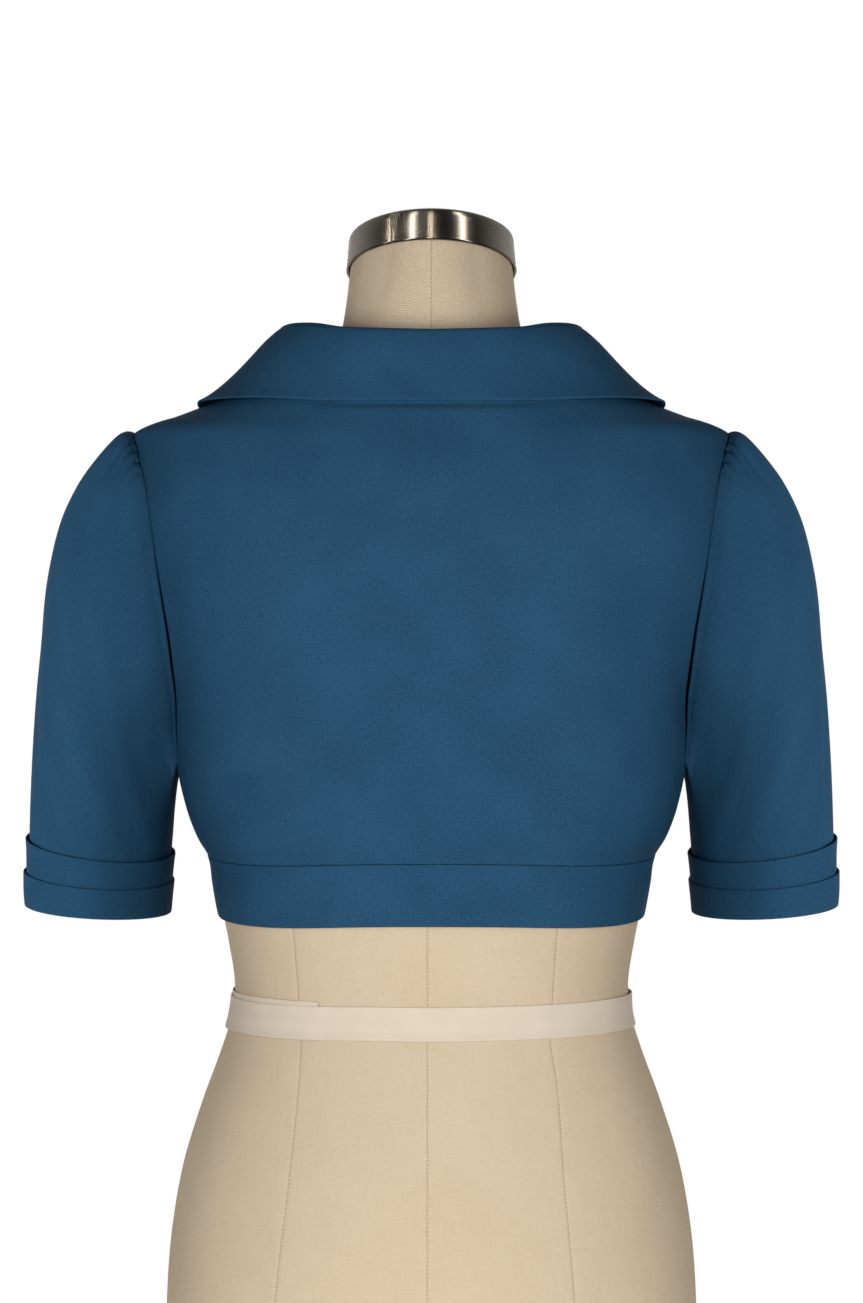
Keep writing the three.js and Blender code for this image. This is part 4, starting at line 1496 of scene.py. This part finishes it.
@dataclass
class Collar:
    """The wide shawl collar: a stand, a roll and a fall, narrowing down the fronts to the band."""

    dressing: Dressing
    thickness: float = 1.6
    under_cloth: float = 1.5
    roll: float = 3.2
    swell: float = 1.3
    hollow: float = 1.75
    lift: float = 0.9
    roll_turn: float = 150.0
    roll_end: float = 0.06
    roll_towards: float = 0.35
    along: int = 330
    creased_edge: float = 1.4
    behind: Table = Table(
        "turn edge_side rise upright edge_lift",
        (
            (0, 626.8, 16.7, 1, 3.2),
            (14, 626.9, 17.1, 1, 2.8),
            (30, 626.8, 18.1, 1, 1.9),
            (45, 626.8, 19.7, 1, 1.7),
            (59, 627, 23.5, 0.98, 2.2),
            (72, 626.4, 25.7, 0.92, 2.6),
            (82, 625.4, 26.4, 0.88, 2.3),
            (90, 625.4, 26.2, 0.87, 1.7),
        ),
    )
    before: Table = Table(
        "station seam_side edge_side edge_x rise upright edge_lift",
        (
            (0, 646.5, 623.4, 141.4, 25.8, 0.86, 1.8),
            (1, 641, 614, 148.6, 23.2, 0.82, 2),
            (2, 630, 600, 152, 20.5, 0.75, 2.2),
            (3, 612, 575, 150, 17, 0.62, 2),
            (4, 590, 548, 144.5, 13.6, 0.48, 1.8),
            (5, 560, 516, 134.5, 10.5, 0.32, 1.8),
            (6, 520, 480, 117.5, 8.4, 0.18, 1.8),
            (7, 480, 447, 96, 7.4, 0.08, 1.8),
            (8, 440, 415, 71, 6.8, 0, 1.8),
            (9, 405, 388, 48, 6.2, 0, 1.4),
            (10, 378, 368.5, 28.5, 5.6, 0, 1),
            (11, 362.5, 361.5, 18, 5.2, 0, 0.6),
        ),
    )
    creases: tuple[Crease, ...] = (
        Crease((38, 652), (4, 640), 11, -0.9),
        Crease((-46, 650), (-92, 640), 10, -0.8),
        Crease((88, 655), (66, 640), 12, -0.6),
        Crease((-8, 660), (-30, 648), 9, 0.5),
    )

    def sections(self) -> Array:
        """Cross-sections at the stations, from the centre back to the end of the left front edge.

        Each goes up the stand on a straight line, over the roll on a circle of roll_turn degrees, and down the fall,
        which is the body's cloth at each share plus what is left of the roll's offset, (1 - down^swell)^hollow.

        Returns:
            Stations by points by 3.
        """
        block = self.dressing.block
        neck = block.torso.reach_at(np.array(block.neck_seam))
        turn = self.behind["turn"]
        station = np.linspace(0, self.before["station"][-1], 23)
        ahead = {name: self.before.at(name, station) for name in self.before.names}
        seam_reach = np.concatenate([np.full(len(turn), neck), block.torso.reach_at(ahead["seam_side"])])
        edge_reach = block.torso.reach_at(np.concatenate([self.behind["edge_side"], ahead["edge_side"]]))
        back_angle = np.radians(90 - turn)
        count = len(turn)
        seam_x = block.front_edge.at("x", ahead["seam_side"])
        seam_angle = np.concatenate([back_angle, block.front_angle(seam_reach[count:], seam_x)])
        edge_angle = np.concatenate([back_angle, block.front_angle(edge_reach[count:], ahead["edge_x"])])
        rise, upright, edge_lift = (
            np.concatenate([self.behind[name], ahead[name]])[:, None] for name in ("rise", "upright", "edge_lift")
        )

        def on(share: Array) -> Array:
            """The collar's middle surface where it lies on the body, at each share from seam to edge."""
            reach = seam_reach[:, None] + (edge_reach - seam_reach)[:, None] * share
            angle = seam_angle[:, None] + (edge_angle - seam_angle)[:, None] * share
            off = self.under_cloth + self.thickness / 2 + self.lift * np.minimum(1, 4 * share) + edge_lift * share
            return block.cloth(reach, angle, off)

        seam = on(np.array([0.0]))
        up = unit(block.torso.normal(seam_reach, seam_angle) * (1 - upright) + np.array([0, 0, 1.0]) * upright)[:, None]
        out = on(np.array([self.roll_towards])) - seam
        out = unit(out - up * (out * up).sum(axis=-1, keepdims=True))
        top = seam + up * (rise - self.roll)[..., None]
        stand = seam + (top - seam) * np.linspace(0, 1, 9)[:-1][None, :, None]
        turns = np.radians(np.linspace(0, self.roll_turn, 15))[None, :, None]
        over = top + out * self.roll * (1 - np.cos(turns)) + up * self.roll * np.sin(turns)
        down = shares(34, 80.0)[1:]
        share = self.roll_end + (1 - self.roll_end) * down
        offset = over[:, -1:] - on(np.array([self.roll_end]))
        fall = on(share) + offset * ((1 - down**self.swell) ** self.hollow)[None, :, None]
        return np.concatenate([stand, over, fall], axis=1)

    def build(self) -> None:
        """Builds the whole collar, smooth between its stations and the same on both sides but for its folds."""
        left = self.sections()
        whole = np.concatenate([mirrored(left)[:0:-1], left])
        steps = np.linalg.norm(np.diff(whole[:, -1], axis=0), axis=-1) + 4
        places = np.concatenate([[0], np.cumsum(steps)])
        middle = smooth_through(places, whole, places[-1] * shares(self.along, places[-1]))
        normal = grid_normals(middle, ring=False)
        if normal[len(normal) // 2, -4, 1] < 0:
            normal = -normal
        columns = middle.shape[1]
        fall = smoothstep(np.arange(columns) / columns, 0.45, 0.62)
        behind = middle[..., 1] > 0
        folds = sum(crease.rise(middle) for crease in self.creases) * behind + uneven(middle, 0.35)
        middle = middle + normal * (folds * fall)[..., None]
        half = normal * self.thickness / 2
        edges = {"bottom": Edge.FOLD, "top": Edge.FOLD, "first": Edge.SEAM, "last": Edge.FOLD}
        cloth = Cloth(middle - half, middle + half, edges=edges, radius=self.creased_edge)
        on = ["back", "front_left", "front_right"]
        self.dressing.hand_over(cloth.build("jacket_collar"), "collar", (0.98, 0.14), 0.088, "folded", on)


# The dress form


@dataclass
class DressForm:
    """The padded torso and neck in canvas, with its seams, and flat plates where the arms would be."""

    torso: Torso
    finish: bpy.types.Material
    rows: int = 250
    panel_columns: int = 22
    seam_dip: float = 0.3
    plate_low: tuple[float, float] = (409, 145.5)
    plate_high: tuple[float, float] = (612, 173.5)
    plate_softness: float = 1.5
    plate_blend: float = 12
    foot_radius: float = 4.0
    collar_height: float = 636
    no_seam: float = 50.0
    seams: Table = Table(
        "height centre left right front",
        (
            (0, 2.4, 94, 86, 88),
            (104, 2.4, 91, 83.2, 84),
            (170, 2.4, 83.5, 77.5, 78),
            (229, 2.4, 78, 73.4, 72),
            (252, 2.4, 77.1, 70, 71),
            (276, 2.4, 78.8, 71.7, 72),
            (319, 2.4, 82.2, 74.5, 77),
            (420, 1.5, 90, 84, 84),
            (520, 0.5, 96, 92, 84),
            (600, 0, 84, 82, 70),
            (640, 0, 58, 58, 48),
            (690, 0, 28, 28, 26),
            (731, 0, 26, 26, 24),
        ),
    )

    def seam_angles(self, reach: Array) -> Array:
        """Each ring's seams as rising angles, one full turn from the wearer's left side seam.

        Args:
            reach: The rings' reaches.

        Returns:
            Rings by seams, the last a full turn after the first.
        """
        height = self.torso.read("side", reach)
        place = {name: self.seams.at(name, height) for name in self.seams.names}
        centre, left, right = (self.torso.angle_at(reach, place[name], True) for name in ("centre", "left", "right"))
        front = self.torso.angle_at(reach, place["front"], False)
        turn = 2 * math.pi + np.zeros_like(reach)
        half = turn / 2
        return np.stack([0 * turn, left, centre, half - right, half, half + front, 0.75 * turn, turn - front, turn], -1)

    def side_plates(self, points: Array) -> Array:
        """Holds x within the slanting arm plates, with a soft corner.

        Above the underarm x is limited to p - s log(1 + exp((p - |x|) / s)) on each side, with the softness s.
        """
        (low, low_x), (high, high_x) = self.plate_low, self.plate_high
        x, z, soft = np.abs(points[..., 0]), points[..., 2], self.plate_softness
        plate = low_x + (high_x - low_x) / (high - low) * (z - low)
        held = plate - soft * np.logaddexp(0, (plate - x) / soft)
        share = smoothstep(z, low - self.plate_blend, low)
        return np.stack([np.sign(points[..., 0]) * (x + (held - x) * share), points[..., 1], z], axis=-1)

    def grid(self) -> tuple[Array, Array, Array]:
        """The form's surface with a grid line down each seam.

        Returns:
            The points, the distance to the nearest seam, and the seams' column numbers.
        """
        reach = np.linspace(0, self.torso.reaches()[-1], self.rows)
        angles = self.seam_angles(reach)
        steps = shares(self.panel_columns, 62.0, (0.35, 0.9, 1.8))[:-1]
        spans = np.diff(angles, axis=1)
        angle = (angles[:, :-1, None] + spans[..., None] * steps).reshape(self.rows, -1)
        points = self.side_plates(self.torso.point(reach[:, None], angle))
        numbers = np.arange(angles.shape[1]) * len(steps)
        from_seam = np.full(points.shape[:2], 1e3)
        on_neck = self.no_seam * (points[..., 2] > self.collar_height)
        for k, number in enumerate(numbers[:-1]):
            gap = path_distance(points, points[:, number]) + (on_neck if k in (0, 1, 3, 4) else 0)
            from_seam = np.minimum(from_seam, gap)
        dip = self.seam_dip * np.exp(-((from_seam / 0.8) ** 2))
        normal = self.torso.normal(reach[:, None], angle)
        return points - normal * dip[..., None], from_seam, numbers

    def build(self) -> None:
        """Builds the form, closed by a rounded foot and a flat top."""
        points, from_seam, numbers = self.grid()
        columns = points.shape[1]
        foot = self.closing(points[0], self.foot_radius)
        top = self.closing(points[-1], 0.0)[::-1]
        grid = np.concatenate([foot, points[1:], top])
        seamless = np.full((len(top), columns), self.no_seam)
        gap = np.concatenate([np.repeat(from_seam[:1], len(foot), 0), from_seam[1:], seamless])
        gap[: len(foot) - 4] = self.no_seam
        left, right = self.pattern(grid, numbers)
        faces = on_ring(cell_quads(len(grid), columns + 1), columns + 1, columns)
        maps = np.stack([m.reshape(-1, 2) for m in (left[:-1], right[:-1], right[1:], left[1:])], axis=1)
        piece = make_object("form_canvas", grid.reshape(-1, 3), faces, maps, {"from_seam": gap})
        stand_for(piece, "form_body", self.finish)

    @staticmethod
    def closing(ring: Array, radius: float) -> Array:
        """Rows from the middle point out to the given ring, rounded at the rim.

        Args:
            ring: The outer ring, n by 3.
            radius: The rim's radius. The rows lie in the ring's own plane but for this rounding.

        Returns:
            The rows, from the middle out.
        """
        centre = ring.mean(axis=0)
        shrink = np.array([0, 0.25, 0.5, 0.75, 0.9])
        rows = [centre + (ring - centre) * s for s in shrink]
        outward = unit((ring - centre) * np.array([1, 1, 0]))
        for turn in np.radians((90, 68, 45, 22, 0)):
            rise = np.array([0, 0, radius * (1 - math.sin(turn))])
            rows.append(ring - outward * radius * (1 - math.cos(turn)) + rise)
        return np.array(rows)

    @staticmethod
    def pattern(grid: Array, numbers: Array) -> tuple[Array, Array]:
        """Each panel's own coordinates, from its middle line, at the left and right side of every face column.

        Args:
            grid: The closed surface, rows by columns by 3.
            numbers: The seams' column numbers.

        Returns:
            The left and the right coordinates, rows by columns by 2.
        """
        run, up = arc_lengths(closed_ring(grid), 1), arc_lengths(closed_ring(grid), 0)
        left, right = run[:, :-1].copy(), run[:, 1:].copy()
        for k, (start, stop) in enumerate(zip(numbers[:-1], numbers[1:])):
            middle = run[:, (start + stop) // 2, None] - 400.0 * k
            left[:, start:stop] -= middle
            right[:, start:stop] -= middle
        return np.stack([left, up[:, :-1]], axis=-1), np.stack([right, up[:, 1:]], axis=-1)


@dataclass
class WaistTape:
    """A woven tape round the waist, with its free end lapped over its start behind the left side."""

    torso: Torso
    finish: bpy.types.Material
    height: float = 263.3
    width: float = 20.0
    thickness: float = 0.8
    lift: float = 0.6
    sag: float = 1.8
    start: float = math.radians(50)
    lap: float = math.radians(64)
    stagger: float = 3.2
    columns: int = 380

    def build(self) -> None:
        """Builds the tape as one strip that starts behind the left side, goes round and ends over its start."""
        across = shares(10, self.width, (0.3, 0.8))
        total = 2 * math.pi + self.lap
        along = shares(self.columns, 810.0, (0.3, 0.8))
        t, u = np.meshgrid(across, along, indexing="ij")
        gone = u * total
        angle = self.start - gone
        over = smoothstep(gone, 2 * math.pi - 0.07, 2 * math.pi + 0.02)
        under = 1 - smoothstep(gone, self.lap, self.lap + 0.5)
        shift = self.stagger * (0.5 * under - 0.5 * smoothstep(gone, 2 * math.pi - 0.4, 2 * math.pi + 0.3))
        height = self.height + (t - 0.5) * self.width - self.sag * np.maximum(0, np.sin(angle)) + shift
        reach = self.torso.reach_at(height)
        normal = self.torso.normal(reach, angle)
        slack = 0.5 * np.exp(-(((gone - 2 * math.pi + 0.13) / 0.07) ** 2)) * (1 - t)
        stand_off = 0.9 * np.exp(-(((np.cos(angle) + 1) / 0.12) ** 2)) * smoothstep(t, 0.3, 1)
        rise = self.lift + (self.thickness + 0.12) * over + slack + stand_off + 0.1 * wavy(gone * 110, DRAPE_WAVES)
        inside = self.torso.point(reach, angle) + normal * rise[..., None]
        edges = {name: Edge.FOLD for name in ("bottom", "top", "first", "last")}
        piece = Cloth(inside, inside + normal * self.thickness, edges=edges, radius=0.6).build("waist_tape_strip")
        stand_for(piece, "waist_tape", self.finish)


@dataclass
class NeckCap:
    """The steel cap over the neck: a shallow turned cup with a soldered joint behind."""

    finish: bpy.types.Material
    radius: float = 50.7
    depth_ratio: float = 51.5 / 50.7
    wall: float = 1.6
    skirt: float = 21.5
    flare: float = 1.4
    dome: float = 3.0
    tilt: float = math.radians(16)
    place: tuple[float, float, float] = (0, -11, 731.2)
    joint_at: float = math.radians(63.5)
    columns: int = 240

    def profile(self) -> Array:
        """The wall's half section, from the middle of the underside round the rim to the middle of the top.

        Returns:
            Radius and height of each corner, rounded where the sheet is bent.
        """
        r, w, out, low = self.radius, self.wall, self.flare, -self.skirt + self.wall
        bend = 2.6
        turns = np.radians(np.linspace(0, 90, 8))
        shoulder = np.stack([r - bend + bend * np.cos(turns), w * 0.9 - bend + bend * np.sin(turns)], axis=-1)
        rim = [(r - w + out, low + 0.5), (r - w + out + 0.35, low), (r + out - 0.35, low), (r + out, low + 0.5)]
        under = [(0, 0), (r * 0.5, 0), (r - w - 1.5, 0), (r - w, -0.6)]
        skirt = [(r - w + out * t, -0.6 + (low + 0.6) * t) for t in np.linspace(0.15, 0.9, 6)]
        outside = [(r + out * t, w * 0.4 + (low - w * 0.4) * t) for t in np.linspace(0.94, 0.12, 10)]
        top = [(r * t, w + self.dome * (1 - t**2)) for t in (0.9, 0.75, 0.5, 0.25)]
        return np.array([*under, *skirt, *rim, *outside, *shoulder, *top, (0, w + self.dome)])

    def joint(self, angle: Array, height: Array) -> Array:
        """The soldered joint's rise: two thin beads that part in a loop near the top and run together below.

        Args:
            angle: Angle round the cap.
            height: Height on the wall.

        Returns:
            The rise off the wall.
        """
        place = (angle - self.joint_at) * self.radius
        share = np.clip((height + self.skirt) / (self.skirt + 1), 0, 1)
        apart = 1.5 * np.exp(-(((share - 0.72) / 0.22) ** 2)) + 0.25 * np.sin(7 * share)
        beads = sum(np.exp(-(((place - side * apart - 0.6 * (share - 0.5)) / 0.45) ** 2)) for side in (1, -1))
        return 0.8 * np.minimum(beads, 1.1) * smoothstep(share, 0.04, 0.1) * (1 - smoothstep(share, 0.93, 0.99))

    def build(self) -> None:
        """Turns the profile about the neck's axis and tilts it forward."""
        profile = self.profile()
        angle = np.linspace(0, 2 * math.pi, self.columns, endpoint=False)
        fine = self.joint_at + np.linspace(-0.09, 0.09, 37)
        angle = np.sort(np.concatenate([angle[np.abs(angle - self.joint_at) > 0.095], fine]))
        radius, height = profile[:, :1], profile[:, 1:]
        outer = (radius > self.radius - 0.2) & (height < 0.6)
        radius = radius + np.where(outer, self.joint(angle[None], height), 0)
        points = np.stack(
            [radius * np.cos(angle), radius * np.sin(angle) * self.depth_ratio, height + 0 * radius], axis=-1
        )
        c, s = math.cos(self.tilt), math.sin(self.tilt)
        turned = points @ np.array([[1, 0, 0], [0, c, s], [0, -s, c]]) + np.array(self.place)
        up = arc_lengths(closed_ring(turned), 0)
        round_it = np.append(angle, 2 * math.pi) * self.radius + 0 * up
        cells = cell_quads(len(turned), up.shape[1])
        faces = on_ring(cells, up.shape[1], len(angle))
        maps = np.stack([round_it, up], axis=-1).reshape(-1, 2)[cells]
        piece = make_object("neck_cap_steel", turned.reshape(-1, 3), faces, maps)
        stand_for(piece, "neck_cap", self.finish)


# The studio

NARROW_BOX = (0.5, 0.8)
CAP_MIDDLE = (0, 0, 0.72)
PALE = (1.0, 0.98, 0.96)


@dataclass(frozen=True)
class Softbox:
    """A large soft light, by its compass bearing, rise and distance from a target, its size and its power.

    The bearing is in degrees from straight behind the wearer, towards the wearer's left. A glint lights nothing and
    is only seen mirrored in polished steel. A light with a group's name reaches only that group, as flags would
    shade it in a studio: the body, its dress form alone, or the left or right sleeve.
    """

    name: str
    bearing: float
    rise: float
    power: float
    target: tuple[float, float, float]
    size: tuple[float, float] = (0.6, 0.8)
    away: float = 1.6
    colour: Colour = (1.0, 1.0, 1.0)
    glint: bool = False
    lit: str = ""

    def place(self) -> tuple[float, float, float]:
        """The target plus the distance along the bearing and rise."""
        bearing, rise = math.radians(self.bearing), math.radians(self.rise)
        flat = self.away * math.cos(rise)
        x, y, z = self.target
        return x + flat * math.sin(bearing), y + flat * math.cos(bearing), z + self.away * math.sin(rise)


def look_at(thing: bpy.types.Object, place: Sequence[float], target: Sequence[float]) -> None:
    """Puts a camera or light at a place and turns it to a target."""
    thing.location = Vector(place)
    thing.rotation_euler = (Vector(target) - Vector(place)).to_track_quat("-Z", "Y").to_euler()


@dataclass
class Studio:
    """The camera at the photograph's place, the pale floor, the white surroundings and the lights."""

    image: tuple[int, int] = (863, 1303)
    camera_distance: float = 2.3
    camera_height: float = 0.48
    focal_pixels: float = 3770.0
    sensor: float = 36.0
    floor_half: float = 0.6
    level_fill: float = 0.85
    level_at: float = -0.1
    overhead_fill: float = 0.05
    lower_fill: float = 0.25
    narrowness: float = 4.0
    mirrored_near: float = 0.035
    mirrored_far: float = 0.5
    lights: tuple[Softbox, ...] = (
        Softbox("key_left", 24, -2, 12.4, (0, 0, 0.41), lit="body"),
        Softbox("key_right", -24, -2, 12.1, (0, 0, 0.41), lit="body"),
        Softbox("front_key_left", 154, -2, 12, (0, 0, 0.4), lit="body"),
        Softbox("front_key_right", -154, -2, 12, (0, 0, 0.4), lit="body"),
        Softbox("form_left", 56, 10, 3.4, (0, 0, 0.52), NARROW_BOX, lit="form"),
        Softbox("form_right", -56, 10, 3.4, (0, 0, 0.52), NARROW_BOX, lit="form"),
        Softbox("left_near", 16, -3, 13.5, (0.2, 0, 0.38), lit="left"),
        Softbox("left_side", 74, -2, 12.5, (0.2, 0, 0.38), NARROW_BOX, lit="left"),
        Softbox("left_front", 160, -3, 13, (0.2, 0, 0.38), lit="left"),
        Softbox("right_near", -16, -3, 13.5, (-0.2, 0, 0.38), lit="right"),
        Softbox("right_side", -74, -2, 12.5, (-0.2, 0, 0.38), NARROW_BOX, lit="right"),
        Softbox("right_front", -160, -3, 13, (-0.2, 0, 0.38), lit="right"),
        Softbox("glint_joint", 69, 34, 2.4, CAP_MIDDLE, (0.05, 1.0), 1.8, (1.0, 0.93, 0.82), True),
        Softbox("glint_wide", 33, 36, 5.0, CAP_MIDDLE, (0.16, 1.2), 1.8, PALE, True),
        Softbox("glint_thin", 1.4, 36, 2.4, CAP_MIDDLE, (0.012, 1.2), 1.8, (1.0, 0.9, 0.75), True),
        Softbox("glint_right", -53, 36, 5.5, CAP_MIDDLE, (0.17, 1.2), 1.8, PALE, True),
        Softbox("glint_front_left", 172, 8, 1.2, CAP_MIDDLE, (0.06, 1.2), 1.8, PALE, True),
        Softbox("glint_front_right", -170, 8, 1.2, CAP_MIDDLE, (0.08, 1.2), 1.8, PALE, True),
    )

    def add_camera(self) -> None:
        """A level camera behind the wearer; the focal length in pixels over the picture's height gives the lens."""
        data = bpy.data.cameras.new("camera")
        data.sensor_width = self.sensor
        data.lens = self.focal_pixels / max(self.image) * self.sensor
        data.clip_end = 100
        data.dof.use_dof = False
        camera = bpy.data.objects.new("camera", data)
        bpy.context.scene.collection.objects.link(camera)
        look_at(camera, (0, self.camera_distance, self.camera_height), (0, 0, self.camera_height))
        bpy.context.scene.camera = camera

    def add_floor(self) -> None:
        """A flat floor under the form's foot."""
        half = self.floor_half
        mesh = bpy.data.meshes.new("floor")
        mesh.from_pydata([(-half, -half, 0), (half, -half, 0), (half, half, 0), (-half, half, 0)], [], [(0, 1, 2, 3)])
        floor = bpy.data.objects.new("floor", mesh)
        bpy.context.scene.collection.objects.link(floor)
        mesh.materials.append(StudioFloor().build())

    def add_surroundings(self) -> None:
        """White where the camera looks past the object, and soft light on it that is strongest from the level.

        With z the ray's height over the level and y its share straight behind or before the wearer, the light is
        level y^2 (1 - |z|)^narrowness plus overhead or lower times |z|. Polished steel mirrors a dim room on the
        camera's side and the pale paper on the far side.
        """
        world = bpy.data.worlds.new("studio")
        recipe = Recipe(world)
        _, y, z = recipe.parts(recipe.node("ShaderNodeTexCoord", output="Generated"))
        steep = (z - self.level_at).size().held()
        above = (z * 4.0 + 0.5).held()
        far = above * self.overhead_fill + (1 - above) * self.lower_fill
        fill = (1 - steep) ** self.narrowness * y * y * self.level_fill + steep * far
        paper = (0.25 - y * 1.25).held()
        room = self.mirrored_near + paper * (self.mirrored_far - self.mirrored_near)
        seen = recipe.node("ShaderNodeLightPath", output="Is Camera Ray")
        mirrored = recipe.node("ShaderNodeLightPath", output="Is Glossy Ray")
        strength = seen + (1 - seen) * (mirrored * room + (1 - mirrored) * fill)
        light = recipe.node("ShaderNodeBackground", None, {"Color": (1.0, 1.0, 1.0, 1.0), "Strength": strength})
        recipe.node("ShaderNodeOutputWorld", None, {"Surface": light})
        bpy.context.scene.world = world

    def groups(self) -> dict[str, bpy.types.Collection]:
        """The objects that a flagged light reaches.

        Returns:
            Each sleeve with its cuffs, all the rest as the body, and the dress form's own pieces.
        """
        groups = {name: bpy.data.collections.new(f"lit_{name}") for name in ("body", "form", "left", "right")}
        for piece in bpy.context.scene.objects:
            if piece.type != "MESH":
                continue
            arm = piece.name.startswith(("jacket_sleeve", "jacket_cuff"))
            groups[piece.name.rsplit("_", 1)[-1] if arm else "body"].objects.link(piece)
            if piece.name.startswith(("form_", "waist_", "neck_")):
                groups["form"].objects.link(piece)
        return groups

    def add_lights(self) -> None:
        """The soft lights round the object, and the strips that only the steel mirrors."""
        groups = self.groups()
        for box in self.lights:
            data = bpy.data.lights.new(box.name, "AREA")
            data.shape = "RECTANGLE"
            data.size, data.size_y = box.size
            data.energy = box.power
            data.color = box.colour
            light = bpy.data.objects.new(box.name, data)
            light.visible_diffuse = not box.glint
            light.visible_glossy = box.glint
            light.visible_camera = False
            bpy.context.scene.collection.objects.link(light)
            if box.lit:
                light.light_linking.receiver_collection = groups[box.lit]
            look_at(light, box.place(), box.target)

    def build(self) -> None:
        """Sets up the studio but for its lights, which need every piece to be there."""
        self.add_camera()
        self.add_floor()
        self.add_surroundings()
        bpy.context.scene.view_settings.view_transform = "Standard"


def main() -> None:
    """Builds the studio, the dress form and the jacket, piece by piece."""
    logging.basicConfig(level=logging.INFO, format="%(message)s")
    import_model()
    studio = Studio()
    studio.build()
    torso = Torso()
    DressForm(torso, Canvas().build()).build()
    WaistTape(torso, Twill().build()).build()
    NeckCap(BrushedSteel().build()).build()
    dressing = Dressing(JacketBlock(torso), Sateen().build())
    BodyPanels(dressing).build()
    HemBand(dressing).build()
    Collar(dressing).build()
    for name, side, unevenness in (("left", 1, 0.0), ("right", -1, 0.07)):
        Sleeve(dressing).build(name, side, unevenness)
        upper_cuff(dressing).build(name, side)
        lower_cuff(dressing).build(name, side)
    studio.add_lights()


if __name__ == "__main__":
    main()
